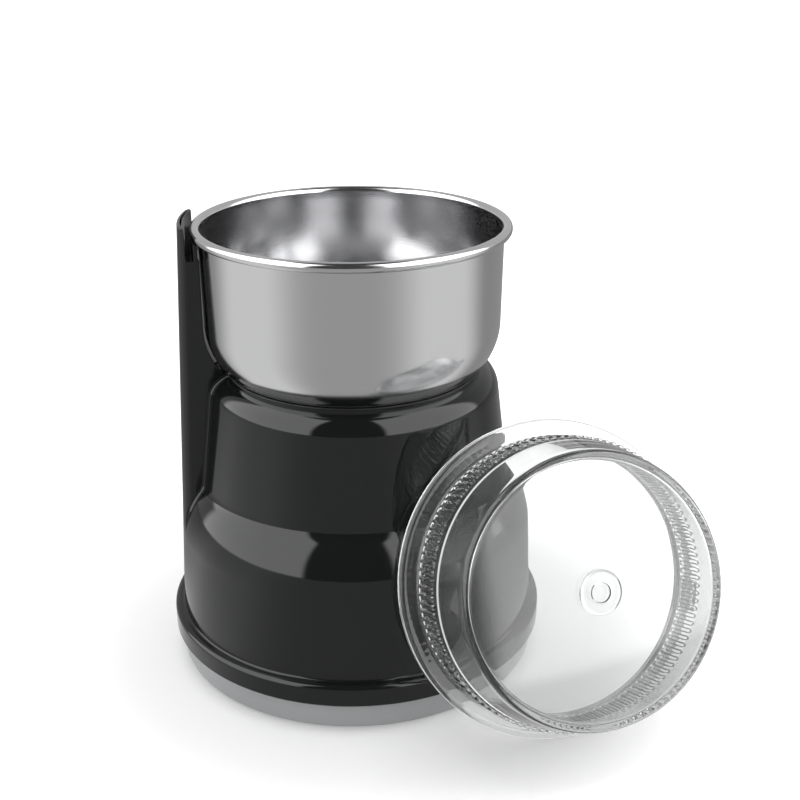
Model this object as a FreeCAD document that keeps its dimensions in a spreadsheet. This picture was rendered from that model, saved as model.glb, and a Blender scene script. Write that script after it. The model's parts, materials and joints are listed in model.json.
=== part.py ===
"""Electric spice grinder with a lift-out steel bowl and a clear lid.

Millimetres, +Z up. The origin is on the table under the middle of the drum, and the
column stands at -X. The lid is off and leans on the body. Each size that can be set by
itself is in SIZES once, and everything that fits, seats or lines up is worked out from it.
"""
import FreeCAD, Part
import math
import os

import Sketcher

SIZES = {
    # feet, silver ring and bottom cover
    "ring_lift": 0.8,
    "ring_height": 8.2,
    "ring_wall": 2.4,
    "ring_inset": 2.3,
    "ring_edge": 0.8,
    "cover_lift": 3.0,
    "cover_thickness": 2.2,
    "foot_radius": 5.0,
    "foot_inset": 9.2,
    "screw_inset": 10.7,
    "screw_radius": 1.5,
    "screw_head_radius": 3.0,
    "screw_head_height": 1.8,
    "screw_length": 16.0,
    "pillar_radius": 3.6,
    "vent_count": 12,
    "vent_width": 3.0,
    "vent_inner": 13.0,
    "vent_outer": 29.0,
    # body shell, outside
    "wall": 2.2,
    "flange_overhang": 2.8,
    "flange_height": 5.3,
    "flange_edge": 1.5,
    "foot_blend": 0.7,
    "drum_reach": 11.0,
    "drum_height": 25.0,
    "draft": 0.042,
    "shoulder_radius": 22.8,
    "shoulder_sweep_angle": 45.0,
    "waist_blend": 6.0,
    "cone_rise": 44.0,
    "cone_draft": 0.12,
    "lip_edge": 7.5,
    # bowl seat in the body
    "seat_inset": 5.6,
    "seat_width": 2.4,
    "seat_rebate": 1.9,
    "seat_ring_height": 3.8,
    "well_taper": 0.6,
    "well_depth": 8.8,
    # column at the side of the bowl
    "column_lap": 1.2,
    "column_span_angle": 30.0,
    "column_rise": 2.7,
    "column_edge": 2.0,
    "column_corner": 3.5,
    "slot_reach": 2.4,
    "slot_width": 2.1,
    "slot_depth": 9.5,
    "cradle_drop": 4.9,
    "channel_span_angle": 20.0,
    "channel_roof": 3.0,
    # bowl
    "bowl_radius": 43.2,
    "bowl_flare": 0.4,
    "bowl_corner": 19.2,
    "bowl_wall": 0.7,
    "bowl_depth": 46.4,
    "roll_radius": 1.5,
    "bowl_rise": 6.0,
    "bowl_gap": 0.8,
    "bowl_foot_gap": 3.6,
    "bowl_foot_bore": 11.0,
    "lug_radius": 2.4,
    "lug_height": 1.2,
    "lug_inset": 5.0,
    # blade and its bearing
    "bush_radius": 5.0,
    "bush_height": 7.0,
    "bush_flange": 7.0,
    "blade_shaft_radius": 3.0,
    "blade_lift": 9.0,
    "blade_gap": 10.2,
    "blade_width": 11.0,
    "blade_thickness": 1.6,
    "blade_hub": 9.0,
    "blade_bend": 3.5,
    "washer_thickness": 1.0,
    "nut_across": 4.8,
    "nut_height": 5.0,
    # drive coupling
    "coupling_across": 6.6,
    "coupling_height": 3.6,
    "coupling_cup_radius": 9.5,
    "coupling_cup_height": 5.0,
    "coupling_play": 0.35,
    # motor
    "shaft_radius": 4.0,
    "shaft_tip_radius": 3.4,
    "shaft_low": 6.0,
    "stator_radius": 31.0,
    "stator_bore": 17.8,
    "stator_low": 38.0,
    "stator_stack": 19.5,
    "winding_overhang": 4.0,
    "winding_inset": 5.0,
    "air_gap": 0.8,
    "armature_slots": 12,
    "commutator_radius": 9.0,
    "commutator_height": 8.0,
    "commutator_low": 25.2,
    "bracket_thickness": 3.0,
    "bracket_hub": 13.6,
    "bearing_radius": 11.0,
    "bearing_width": 7.0,
    "bearing_race": 2.0,
    "bolt_inset": 3.4,
    "bolt_radius": 1.8,
    "mount_inset": 7.0,
    "mount_radius": 5.0,
    "mount_height": 4.0,
    "brush_size": 6.0,
    "brush_length": 13.0,
    "holder_wall": 1.2,
    "fan_radius": 28.0,
    "fan_hub": 8.0,
    "fan_height": 4.8,
    "fan_blades": 9,
    "fan_web": 1.4,
    # interlock switch in the column
    "rod_thickness": 1.0,
    "rod_width": 8.0,
    "rod_rise": 7.2,
    "rod_travel": 2.5,
    "rod_foot_width": 20.0,
    "rod_foot_thickness": 2.0,
    "switch_low": 26.0,
    "switch_height": 12.0,
    "switch_depth": 6.4,
    "switch_length": 20.0,
    "plunger_radius": 1.3,
    "plunger_height": 3.4,
    "spring_radius": 2.0,
    "spring_wire": 0.5,
    "spring_turns": 5,
    "spring_length": 9.0,
    "shelf_thickness": 1.8,
    # circuit board and cord inlet
    "board_width": 34.0,
    "board_height": 24.0,
    "board_thickness": 1.6,
    "board_inset": 13.7,
    "board_low": 12.0,
    "post_size": 4.0,
    "capacitor_radius": 4.5,
    "capacitor_length": 12.0,
    "inlet_height": 24.0,
    "inlet_half_width": 5.2,
    "inlet_bore": 3.3,
    "inlet_collar": 7.7,
    "inlet_reach": 3.0,
    # lid
    "lid_lap": 1.6,
    "lid_flange": 2.6,
    "lid_bevel": 1.2,
    "lid_grip_inset": 5.2,
    "lid_grip_low": 4.4,
    "lid_grip_height": 11.0,
    "lid_taper": 2.8,
    "lid_depth": 31.0,
    "lid_dome": 2.0,
    "lid_wall": 2.0,
    "lid_edge": 1.6,
    "lid_boss_radius": 5.6,
    "lid_boss_height": 0.7,
    "rib_count": 112,
    "rib_height": 0.75,
    "tongue_width": 9.0,
    "tongue_drop": 4.6,
    "tongue_angle": 75.0,
    # where the lid stands
    "lid_gap": 15.2,
    "lid_bearing_angle": -39.7,
    "lid_tilt_angle": 22.0,
    "lid_turn_angle": -75.5,
    # clearances
    "fit": 0.1,
    "running": 0.05,
    "seat_gap": 0.2,
}

FULL_TURN = 360
QUARTER_TURN = 90
PIECES = []

doc = FreeCAD.newDocument("spice_grinder")
sheet = doc.addObject("Spreadsheet::Sheet", "Sizes")
for row, (alias, number) in enumerate(SIZES.items(), start=1):
    sheet.set(f"A{row}", alias)
    sheet.set(f"B{row}", str(number))
    sheet.setAlias(f"B{row}", alias)
doc.recompute()


class Size:
    """A number together with the formula that gives it from the sheet."""

    def __init__(self, value, text):
        self.value = value
        self.text = text

    def __add__(self, other):
        other = size(other)
        return Size(self.value + other.value, f"({self.text} + {other.text})")

    def __sub__(self, other):
        other = size(other)
        return Size(self.value - other.value, f"({self.text} - {other.text})")

    def __mul__(self, other):
        other = size(other)
        return Size(self.value * other.value, f"({self.text} * {other.text})")

    def __truediv__(self, other):
        other = size(other)
        return Size(self.value / other.value, f"({self.text} / {other.text})")

    def __radd__(self, other):
        return size(other) + self

    def __rsub__(self, other):
        return size(other) - self

    def __rmul__(self, other):
        return size(other) * self

    def __rtruediv__(self, other):
        return size(other) / self

    def __neg__(self):
        return size(0) - self


def size(amount):
    """Give a plain number the same form as a size from the sheet."""
    return amount if isinstance(amount, Size) else Size(float(amount), repr(float(amount)))


def named(alias):
    """Read one size of the sheet."""
    return Size(float(sheet.get(alias)), f"Sizes.{alias}")


def root(amount):
    """Square root of a size."""
    return Size(math.sqrt(amount.value), f"sqrt({amount.text})")


def cosine(angle):
    """Cosine of an angle in degrees."""
    angle = size(angle)
    return Size(math.cos(math.radians(angle.value)), f"cos({angle.text} * 1 deg)")


def sine(angle):
    """Sine of an angle in degrees."""
    angle = size(angle)
    return Size(math.sin(math.radians(angle.value)), f"sin({angle.text} * 1 deg)")


def around(circle, angle):
    """Point on a circle about the Z axis."""
    return circle * cosine(angle), circle * sine(angle)


def bind(owner, path, amount):
    """Tie a property of an object to its formula."""
    owner.setExpression(path, size(amount).text)


class Piece:
    """One sub-part, built from sketches whose points are tied to the sheet."""

    def __init__(self, name):
        self.body = doc.addObject("PartDesign::Body", name)
        self.body.Label = name
        PIECES.append(self.body)

    def sketch(self, role, lift=0):
        """Start a sketch on one of the body's own planes, lifted along its normal."""
        plane = next(item for item in self.body.Origin.OriginFeatures if item.Role == role)
        sketch = self.body.newObject("Sketcher::SketchObject", f"{self.body.Name}_sketch")
        sketch.AttachmentSupport = (plane, [""])
        sketch.MapMode = "FlatFace"
        bind(sketch, "AttachmentOffset.Base.z", lift)
        return sketch

    def finish(self, feature, cuts=False):
        """Recompute, and stop where a cut removes nothing or a feature fails."""
        before = self.body.Tip.Shape.Volume if cuts else 0
        self.body.Tip = feature
        doc.recompute()
        if feature.Shape.isNull() or not feature.Shape.isValid():
            raise RuntimeError(f"{self.body.Name}: {feature.Name} has no valid shape")
        if cuts and feature.Shape.Volume >= before - 1e-6:
            raise RuntimeError(f"{self.body.Name}: {feature.Name} cuts nothing")
        return feature

    def spin(self, sketch, sweep=None, cut=False):
        """Turn a sketch about the Z axis, all round or by an equal sweep to each side."""
        previous = self.body.Tip
        kind = "PartDesign::Groove" if cut else "PartDesign::Revolution"
        feature = self.body.newObject(kind, f"{self.body.Name}_turned")
        feature.Profile = sketch
        feature.ReferenceAxis = (sketch, ["V_Axis"])
        if sweep is None:
            feature.Angle = FULL_TURN
        else:
            feature.Midplane = True
            bind(feature, "Angle", sweep)
        self.body.Tip = previous
        return self.finish(feature, cut)

    def extrude(self, sketch, length, cut=False, both=False, back=False):
        """Push a sketch along its normal, to both sides, or against it."""
        previous = self.body.Tip
        kind = "PartDesign::Pocket" if cut else "PartDesign::Pad"
        feature = self.body.newObject(kind, f"{self.body.Name}_extruded")
        feature.Profile = sketch
        feature.Midplane = both
        feature.Reversed = back != cut
        bind(feature, "Length", length)
        self.body.Tip = previous
        return self.finish(feature, cut)

    def repeat(self, feature, sketch, count):
        """Copy a feature round the axis of its sketch."""
        pattern = self.body.newObject("PartDesign::PolarPattern", f"{self.body.Name}_pattern")
        pattern.Originals = [feature]
        pattern.Axis = (sketch, ["N_Axis"])
        pattern.Angle = FULL_TURN
        bind(pattern, "Occurrences", count)
        return self.finish(pattern)

    def round_edges(self, radius, wanted):
        """Fillet the edges of the tip that a test picks out."""
        base = self.body.Tip
        picked = [
            f"Edge{number}" for number, edge in enumerate(base.Shape.Edges, start=1) if wanted(edge)
        ]
        if not picked:
            raise RuntimeError(f"{self.body.Name}: no edge to round")
        fillet = self.body.newObject("PartDesign::Fillet", f"{self.body.Name}_fillet")
        fillet.Base = (base, picked)
        bind(fillet, "Radius", radius)
        return self.finish(fillet)


def flat(point):
    """Turn a pair of sizes into a point on the sketch."""
    return FreeCAD.Vector(point[0].value, point[1].value, 0)


def arc_between(start, end, radius):
    """Short arc of a radius between two points: positive bends left, negative right."""
    chord = end - start
    middle = (start + end) * 0.5
    reach = math.sqrt(max(radius * radius - chord.Length * chord.Length / 4, 0))
    left = FreeCAD.Vector(-chord.y, chord.x, 0).normalize()
    centre = middle + left * (reach if radius > 0 else -reach)
    first, last = (start, end) if radius > 0 else (end, start)
    first_angle = math.atan2(first.y - centre.y, first.x - centre.x)
    last_angle = math.atan2(last.y - centre.y, last.x - centre.x)
    circle = Part.Circle(centre, FreeCAD.Vector(0, 0, 1), abs(radius))
    return Part.ArcOfCircle(circle, first_angle, last_angle)


def loop(sketch, corners):
    """Close a chain of lines and arcs through corners, each tied to the sheet.

    A corner is (x, y), or (x, y, radius) where the edge that arrives is an arc.
    """
    corners = [tuple(size(item) for item in corner) for corner in corners]
    first_id = len(sketch.Geometry)
    edges = []
    rules = []
    bound = []
    ends = []
    for number, corner in enumerate(corners):
        following = corners[(number + 1) % len(corners)]
        start = flat(corner)
        end = flat(following)
        if len(following) == 3:
            edges.append(arc_between(start, end, following[2].value))
            ends.append((1, 2) if following[2].value > 0 else (2, 1))
        else:
            edges.append(Part.LineSegment(start, end))
            ends.append((1, 2))
    sketch.addGeometry(edges, False)
    for number, corner in enumerate(corners):
        following = (number + 1) % len(corners)
        edge_id = first_id + number
        leave = ends[number]
        rules.append(
            Sketcher.Constraint(
                "Coincident", edge_id, leave[1], first_id + following, ends[following][0]
            )
        )
        for kind, amount in (("DistanceX", corner[0]), ("DistanceY", corner[1])):
            rules.append(Sketcher.Constraint(kind, edge_id, leave[0], amount.value))
            bound.append((len(rules) - 1, amount))
        if len(corners[following]) == 3:
            radius = corners[following][2]
            radius = radius if radius.value > 0 else -radius
            rules.append(Sketcher.Constraint("Radius", edge_id, radius.value))
            bound.append((len(rules) - 1, radius))
    tie(sketch, rules, bound)


def disc(sketch, centre, radius):
    """Draw one circle, with its centre and radius tied to the sheet."""
    centre = tuple(size(item) for item in centre)
    radius = size(radius)
    number = len(sketch.Geometry)
    circle = Part.Circle(flat(centre), FreeCAD.Vector(0, 0, 1), radius.value)
    sketch.addGeometry(circle, False)
    rules = [
        Sketcher.Constraint("Radius", number, radius.value),
        Sketcher.Constraint("DistanceX", number, 3, centre[0].value),
        Sketcher.Constraint("DistanceY", number, 3, centre[1].value),
    ]
    tie(sketch, rules, list(enumerate((radius, centre[0], centre[1]))))


def tie(sketch, rules, bound):
    """Add constraints and bind those that come from the sheet."""
    first = sketch.ConstraintCount
    sketch.addConstraint(rules)
    for offset, amount in bound:
        if "Sizes." in amount.text:
            sketch.setExpression(f"Constraints[{first + offset}]", amount.text)


def box_loop(sketch, low, high):
    """Draw a rectangle between two corners."""
    loop(sketch, [low, (high[0], low[1]), high, (low[0], high[1])])


def tube(name, inner, outer, low, high):
    """Plain ring about the Z axis, or a solid rod where inner is None."""
    piece = Piece(name)
    sketch = piece.sketch("XY_Plane", low)
    disc(sketch, (0, 0), outer)
    if inner is not None:
        disc(sketch, (0, 0), inner)
    piece.extrude(sketch, high - low)
    return piece


def upright(edge):
    """Tell whether an edge runs roughly along Z."""
    ends = [vertex.Point for vertex in edge.Vertexes]
    if len(ends) < 2:
        return False
    return abs(ends[0].z - ends[1].z) > 0.9 * (ends[0] - ends[1]).Length


def waist_blend_ends():
    """Points where the waist's hollow blend leaves the shoulder and meets the cone.

    Its centre is one blend radius outside both the shoulder's arc and the cone's line.
    """
    blend = named("waist_blend")
    across = (1 / cone_slant, named("cone_draft") / cone_slant)
    start = (
        waist_radius + across[0] * blend - shoulder_centre,
        waist + across[1] * blend - drum_top,
    )
    climb = start[1] * across[0] - start[0] * across[1]
    reach = shoulder_radius + blend
    rise = root(climb * climb - start[0] * start[0] - start[1] * start[1] + reach * reach) - climb
    centre = (start[0] - across[1] * rise, start[1] + across[0] * rise)
    share = shoulder_radius / reach
    low = (shoulder_centre + centre[0] * share, drum_top + centre[1] * share)
    high = (
        shoulder_centre + centre[0] - across[0] * blend,
        drum_top + centre[1] - across[1] * blend,
    )
    return low, high


# Heights and radii that several pieces share
fit = named("fit")
wall = named("wall")
ring_top = named("ring_lift") + named("ring_height")
cover_top = named("cover_lift") + named("cover_thickness")
bowl_radius = named("bowl_radius")
drum_radius = bowl_radius + named("drum_reach")
flange_radius = drum_radius + named("flange_overhang")
flange_shoulder = ring_top + named("flange_height")
flange_top = flange_shoulder + named("flange_edge")
drum_top = flange_top + named("drum_height")
drum_top_radius = drum_radius - named("draft") * named("drum_height")
shoulder_radius = named("shoulder_radius")
shoulder_centre = drum_top_radius - shoulder_radius
waist_radius = shoulder_centre + shoulder_radius * cosine(named("shoulder_sweep_angle"))
waist = drum_top + shoulder_radius * sine(named("shoulder_sweep_angle"))
cone_top = drum_top + named("cone_rise")
cone_top_radius = waist_radius - named("cone_draft") * (cone_top - waist)
cone_slant = root(1 + named("cone_draft") * named("cone_draft"))
blend_low, blend_high = waist_blend_ends()
lip_centre_radius = cone_top_radius - named("lip_edge") / cone_slant
lip_centre = cone_top - named("lip_edge") * named("cone_draft") / cone_slant
seat_outer = bowl_radius - named("seat_inset")
seat_inner = seat_outer - named("seat_width")
lip_step = seat_outer - lip_centre_radius
lip_height = lip_centre + root(named("lip_edge") * named("lip_edge") - lip_step * lip_step)
seat_floor = lip_height - named("seat_rebate")
well_radius = seat_inner - named("well_taper")
well_floor = seat_floor - named("well_depth")
well_roof = well_floor - wall
bowl_floor = well_floor + named("bowl_rise")
bowl_bend = bowl_floor + named("bowl_corner")
bowl_flat = bowl_radius - named("bowl_corner")
roll_height = bowl_floor + named("bowl_depth")
bowl_mouth = bowl_radius + named("bowl_flare")
roll_circle = bowl_mouth - named("bowl_wall") + named("roll_radius")
bowl_foot_radius = well_radius - named("bowl_foot_gap")
lug_circle = bowl_foot_radius - named("lug_inset")
column_inner = bowl_radius - named("column_lap")
column_top = roll_height + named("column_rise")
cradle_top = column_top - named("cradle_drop")
slot_floor = column_top - named("slot_depth")
slot_inner = bowl_radius + named("slot_reach")
slot_outer = slot_inner + named("slot_width")
inner_base = flange_radius - named("ring_inset") - named("ring_wall")
mount_circle = named("stator_radius") - named("mount_inset")
bolt_circle = named("stator_radius") - named("bolt_inset")
winding_radius = named("stator_radius") - named("winding_inset")
foot_circle = drum_radius - named("foot_inset")
screw_circle = drum_radius - named("screw_inset")
lid_radius = bowl_radius + named("lid_lap")
lid_grip_radius = lid_radius - named("lid_grip_inset")
lid_top_radius = lid_grip_radius - named("lid_taper")


def column_face(height):
    """Radius of the drum and column's common outer face at a height."""
    return drum_radius - named("draft") * (height - flange_top)


def outer_form(piece):
    """Turned outside of the housing, closed below, with the bowl's well in its top."""
    sketch = piece.sketch("XZ_Plane")
    foot_blend = named("foot_blend")
    loop(
        sketch,
        [
            (0, ring_top),
            (flange_radius, ring_top),
            (flange_radius, flange_shoulder),
            (flange_radius - named("flange_edge"), flange_top, named("flange_edge")),
            (drum_radius + foot_blend, flange_top),
            (drum_radius, flange_top + foot_blend, -foot_blend),
            (drum_top_radius, drum_top),
            (*blend_low, shoulder_radius),
            (*blend_high, -named("waist_blend")),
            (cone_top_radius, cone_top),
            (seat_outer, lip_height, named("lip_edge")),
            (seat_outer, seat_floor),
            (seat_inner, seat_floor),
            (well_radius, well_floor),
            (0, well_floor),
        ],
    )
    piece.spin(sketch)


def column_form(piece):
    """Sector that carries the drum's outer face up beside the bowl."""
    sketch = piece.sketch("XZ_Plane")
    low = drum_top - named("wall")
    loop(
        sketch,
        [
            (-column_face(low), low),
            (-column_inner, low),
            (-column_inner, column_top),
            (-column_face(column_top), column_top),
        ],
    )
    piece.spin(sketch, named("column_span_angle"))

    def outer_corner(edge):
        reach = max(math.hypot(v.Point.x, v.Point.y) for v in edge.Vertexes)
        return (
            upright(edge)
            and edge.BoundBox.ZMax > column_top.value - 0.01
            and reach > column_face(column_top).value - 0.01
        )

    piece.round_edges(named("column_corner"), outer_corner)


def inner_form(piece):
    """Hollow of the housing, one wall inside the outer form."""
    shoulder_inner = shoulder_radius - wall
    sketch = piece.sketch("XZ_Plane")
    throat = well_radius + wall
    loop(
        sketch,
        [
            (0, ring_top),
            (inner_base, ring_top),
            (drum_radius - wall, flange_top),
            (drum_top_radius - wall, drum_top),
            (
                shoulder_centre + shoulder_inner * cosine(named("shoulder_sweep_angle")),
                drum_top + shoulder_inner * sine(named("shoulder_sweep_angle")),
                shoulder_inner,
            ),
            (cone_top_radius - wall, cone_top - wall),
            (throat + wall / 2, seat_floor - wall * 1.5),
            (throat, seat_floor - wall * 1.5),
            (throat, well_roof),
            (0, well_roof),
        ],
    )
    piece.spin(sketch, cut=True)


def bowl_space(piece):
    """Room for the bowl beside the column, one gap outside the bowl's own line."""
    gap = named("bowl_gap")
    reach = bowl_radius + named("bowl_flare") + gap
    corner = named("bowl_corner") + gap
    sketch = piece.sketch("XZ_Plane")
    low = bowl_bend - root(
        corner * corner - (seat_outer - bowl_flat) * (seat_outer - bowl_flat)
    )
    loop(
        sketch,
        [
            (0, low),
            (seat_outer, low),
            (bowl_flat + corner, bowl_bend, corner),
            (reach, roll_height - named("roll_radius") * 2),
            (reach, column_top + gap),
            (0, column_top + gap),
        ],
    )
    piece.spin(sketch, cut=True)


def slot_cuts(piece):
    """Slot for the lid's tongue, the channel of the push rod, and the low cradle edge."""
    over = column_top + wall
    slot = piece.sketch("XZ_Plane")
    box_loop(
        slot, (-slot_outer, slot_floor), (-slot_inner, over)
    )
    piece.spin(slot, named("column_span_angle") * 1.5, cut=True)
    cradle = piece.sketch("XZ_Plane")
    box_loop(
        cradle,
        (-slot_inner - fit, cradle_top),
        (-column_inner, over),
    )
    piece.spin(cradle, named("column_span_angle") * 1.5, cut=True)
    channel = piece.sketch("XZ_Plane")
    box_loop(
        channel,
        (-slot_outer, waist - wall * 4),
        (-slot_inner, slot_floor - named("channel_roof")),
    )
    piece.spin(channel, named("channel_span_angle"), cut=True)
    mouth = piece.sketch("XY_Plane", slot_floor + fit)
    half = named("rod_width") / 2 + named("seat_gap")
    box_loop(mouth, (-slot_outer, -half), (-slot_inner, half))
    piece.extrude(mouth, named("channel_roof") * 2, cut=True, back=True)


def body_shell():
    """Housing: flange, drum, waist, cone, bowl seat and column in one moulding."""
    piece = Piece("body_shell")
    column_form(piece)
    outer_form(piece)
    inner_form(piece)
    pillars = piece.sketch("XY_Plane", cover_top)
    for quarter in range(4):
        disc(pillars, around(screw_circle, 45 + 90 * quarter), named("pillar_radius"))
    piece.extrude(pillars, waist - wall * 0.7 - cover_top)
    hangers = piece.sketch("XY_Plane", well_roof)
    for third in range(3):
        disc(hangers, around(mount_circle, 120 * third), named("mount_radius"))
    piece.extrude(hangers, hanger_drop, back=True)
    bowl_space(piece)
    slot_cuts(piece)
    holes = piece.sketch("XY_Plane", cover_top)
    for quarter in range(4):
        disc(holes, around(screw_circle, 45 + 90 * quarter), named("screw_radius") + fit)
    piece.extrude(holes, named("screw_length") + fit * 10, cut=True)
    hanger_holes = piece.sketch("XY_Plane", well_roof - hanger_drop)
    for third in range(3):
        disc(hanger_holes, around(mount_circle, 120 * third), mount_screw_radius + fit)
    piece.extrude(hanger_holes, hanger_drop, cut=True)
    bore = piece.sketch("XY_Plane", well_floor + fit)
    disc(bore, (0, 0), seal_radius)
    piece.extrude(bore, wall * 2, cut=True, back=True)
    sockets = piece.sketch("XY_Plane", well_floor + fit)
    for third in range(3):
        disc(sockets, around(lug_circle, 60 + 120 * third), named("lug_radius") + fit * 2)
    piece.extrude(sockets, named("lug_height") + fit * 3, cut=True, back=True)
    notch = piece.sketch("XZ_Plane", -drum_radius + wall * 4)
    half = named("inlet_half_width")
    box_loop(notch, (-half, ring_top - wall), (half, named("inlet_height") + half))
    piece.extrude(notch, wall * 8, cut=True, back=True)


def base_ring():
    """Silver trim ring between the flange and the table."""
    piece = Piece("base_ring")
    outer = flange_radius - named("ring_inset")
    edge = named("ring_edge")
    sketch = piece.sketch("XZ_Plane")
    loop(
        sketch,
        [
            (outer - named("ring_wall"), named("ring_lift")),
            (outer - edge, named("ring_lift")),
            (outer, named("ring_lift") + edge, edge),
            (outer, ring_top),
            (outer - named("ring_wall"), ring_top),
        ],
    )
    piece.spin(sketch)


def bottom_cover():
    """Round plate that closes the housing, with vents under the fan."""
    piece = Piece("bottom_cover")
    plate = piece.sketch("XY_Plane", named("cover_lift"))
    disc(plate, (0, 0), inner_base - fit)
    for quarter in range(4):
        disc(plate, around(screw_circle, 45 + 90 * quarter), named("screw_radius") + fit)
    piece.extrude(plate, named("cover_thickness"))
    vent = piece.sketch("XY_Plane", named("cover_lift"))
    half = named("vent_width") / 2
    box_loop(vent, (named("vent_inner"), -half), (named("vent_outer"), half))
    cut = piece.extrude(vent, named("cover_thickness"), cut=True)
    piece.repeat(cut, vent, named("vent_count"))


def rubber_feet():
    """Four pads under the cover."""
    piece = Piece("rubber_feet")
    sketch = piece.sketch("XY_Plane")
    for quarter in range(4):
        disc(sketch, around(foot_circle, 90 * quarter), named("foot_radius"))
    piece.extrude(sketch, named("cover_lift"))


def base_screws():
    """Four screws that hold the cover to the housing's pillars."""
    piece = Piece("base_screws")
    heads = piece.sketch("XY_Plane", named("cover_lift"))
    shanks = piece.sketch("XY_Plane", named("cover_lift"))
    for quarter in range(4):
        centre = around(screw_circle, 45 + 90 * quarter)
        disc(heads, centre, named("screw_head_radius"))
        disc(shanks, centre, named("screw_radius"))
    piece.extrude(heads, named("screw_head_height"), back=True)
    piece.extrude(shanks, named("screw_length"))


def seat_ring():
    """Rubber ring in the lip's rebate, dished to the bowl's corner."""
    piece = Piece("seat_ring")
    dish = named("bowl_corner") + named("seat_gap")
    outer = seat_outer - fit
    inner = seat_inner + fit * 6

    def dish_height(radius):
        return bowl_bend - root(dish * dish - (radius - bowl_flat) * (radius - bowl_flat))

    sketch = piece.sketch("XZ_Plane")
    loop(
        sketch,
        [
            (inner, seat_floor),
            (outer, seat_floor),
            (outer, dish_height(outer)),
            (inner, dish_height(inner), -dish),
        ],
    )
    piece.spin(sketch)


def cord_inlet():
    """Bushing in the back of the drum that a supply lead would pass through.

    Its square barrel slides up a notch in the housing's foot and fills it, and the
    round collar covers the notch's top corners.
    """
    piece = Piece("cord_inlet")
    face = column_face(named("inlet_height"))
    length = wall * 3
    collar = piece.sketch("XZ_Plane", -face - named("inlet_reach"))
    centre = (0, named("inlet_height"))
    disc(collar, centre, named("inlet_collar"))
    piece.extrude(collar, named("inlet_reach") - fit * 2)
    half = named("inlet_half_width") - fit
    barrel = piece.sketch("XZ_Plane", -face - fit * 3)
    box_loop(barrel, (-half, ring_top + fit), (half, named("inlet_height") + half))
    piece.extrude(barrel, length)
    toe = piece.sketch("XZ_Plane", -flange_radius + fit * 3)
    box_loop(toe, (-half, ring_top + fit), (half, flange_shoulder))
    piece.extrude(toe, flange_radius - face)
    bore = piece.sketch("XZ_Plane", -face - named("inlet_reach") - fit)
    disc(bore, centre, named("inlet_bore"))
    piece.extrude(bore, named("inlet_reach") + length, cut=True)


# Heights of the motor's stack
bracket_top = well_roof - named("mount_height") * 1.5
bracket_low = bracket_top - named("bracket_thickness")
hanger_drop = named("mount_height") * 0.5
mount_screw_radius = named("screw_radius")
seal_radius = named("coupling_cup_radius")
stator_top = named("stator_low") + named("stator_stack")
bearing_high = bracket_low + fit
lower_bracket_top = named("commutator_low") - wall
lower_bracket_low = lower_bracket_top - named("bracket_thickness")
brush_height = named("commutator_low") + named("commutator_height") / 2
coupling_low = well_floor + fit * 4
shaft_high = coupling_low + named("coupling_height") * 0.6
cup_low = coupling_low + named("coupling_play")
cup_high = cup_low + named("coupling_cup_height")
blade_low = bowl_floor + named("blade_lift")
armature_radius = named("stator_bore") - named("air_gap")


def stator():
    """Ring of laminations with two bolt holes, and its two coils at each end."""
    core = Piece("stator_core")
    sketch = core.sketch("XY_Plane", named("stator_low"))
    disc(sketch, (0, 0), named("stator_radius"))
    disc(sketch, (0, 0), named("stator_bore"))
    for side in range(2):
        disc(sketch, around(bolt_circle, 90 + 180 * side), named("bolt_radius") + fit)
    core.extrude(sketch, named("stator_stack"))
    coils = Piece("stator_windings")
    inner = named("stator_bore") + named("air_gap")
    for low in (named("stator_low") - named("winding_overhang"), stator_top):
        sketch = coils.sketch("XY_Plane", low)
        disc(sketch, (0, 0), winding_radius - named("bolt_radius"))
        disc(sketch, (0, 0), inner)
        coils.extrude(sketch, named("winding_overhang"))


def armature():
    """Slotted core, end windings and commutator that turn with the shaft."""
    shaft_bore = named("shaft_radius")
    core = Piece("armature_core")
    sketch = core.sketch("XY_Plane", named("stator_low"))
    disc(sketch, (0, 0), armature_radius)
    disc(sketch, (0, 0), shaft_bore)
    core.extrude(sketch, named("stator_stack"))
    slot = core.sketch("XY_Plane", named("stator_low"))
    half = size(1)
    box_loop(slot, (armature_radius * 0.6, -half), (armature_radius + 1, half))
    cut = core.extrude(slot, named("stator_stack"), cut=True)
    core.repeat(cut, slot, named("armature_slots"))
    coils = Piece("armature_windings")
    overhang = named("winding_overhang")
    for low in (named("stator_low") - overhang, stator_top):
        sketch = coils.sketch("XY_Plane", low)
        disc(sketch, (0, 0), armature_radius - named("air_gap") * 2)
        disc(sketch, (0, 0), shaft_bore)
        coils.extrude(sketch, overhang)
    tube(
        "commutator",
        shaft_bore,
        named("commutator_radius"),
        named("commutator_low"),
        named("commutator_low") + named("commutator_height"),
    )
    shaft = Piece("motor_shaft")
    sketch = shaft.sketch("XZ_Plane")
    neck = bearing_high + named("bearing_width") * 0.5
    loop(
        sketch,
        [
            (0, named("shaft_low")),
            (named("shaft_radius"), named("shaft_low")),
            (named("shaft_radius"), neck),
            (named("shaft_tip_radius"), neck),
            (named("shaft_tip_radius"), shaft_high),
            (0, shaft_high),
        ],
    )
    shaft.spin(sketch)


def bearing(name, low):
    """Ball bearing as one ring, with a groove in each face between its races."""
    piece = Piece(name)
    high = low + named("bearing_width")
    inner = named("shaft_radius") + named("running")
    race = named("bearing_race")
    groove = named("bearing_race") / 3
    sketch = piece.sketch("XZ_Plane")
    loop(
        sketch,
        [
            (inner, low),
            (inner + race, low),
            (inner + race, low + groove),
            (named("bearing_radius") - race, low + groove),
            (named("bearing_radius") - race, low),
            (named("bearing_radius"), low),
            (named("bearing_radius"), high),
            (named("bearing_radius") - race, high),
            (named("bearing_radius") - race, high - groove),
            (inner + race, high - groove),
            (inner + race, high),
            (inner, high),
        ],
    )
    piece.spin(sketch)


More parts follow.
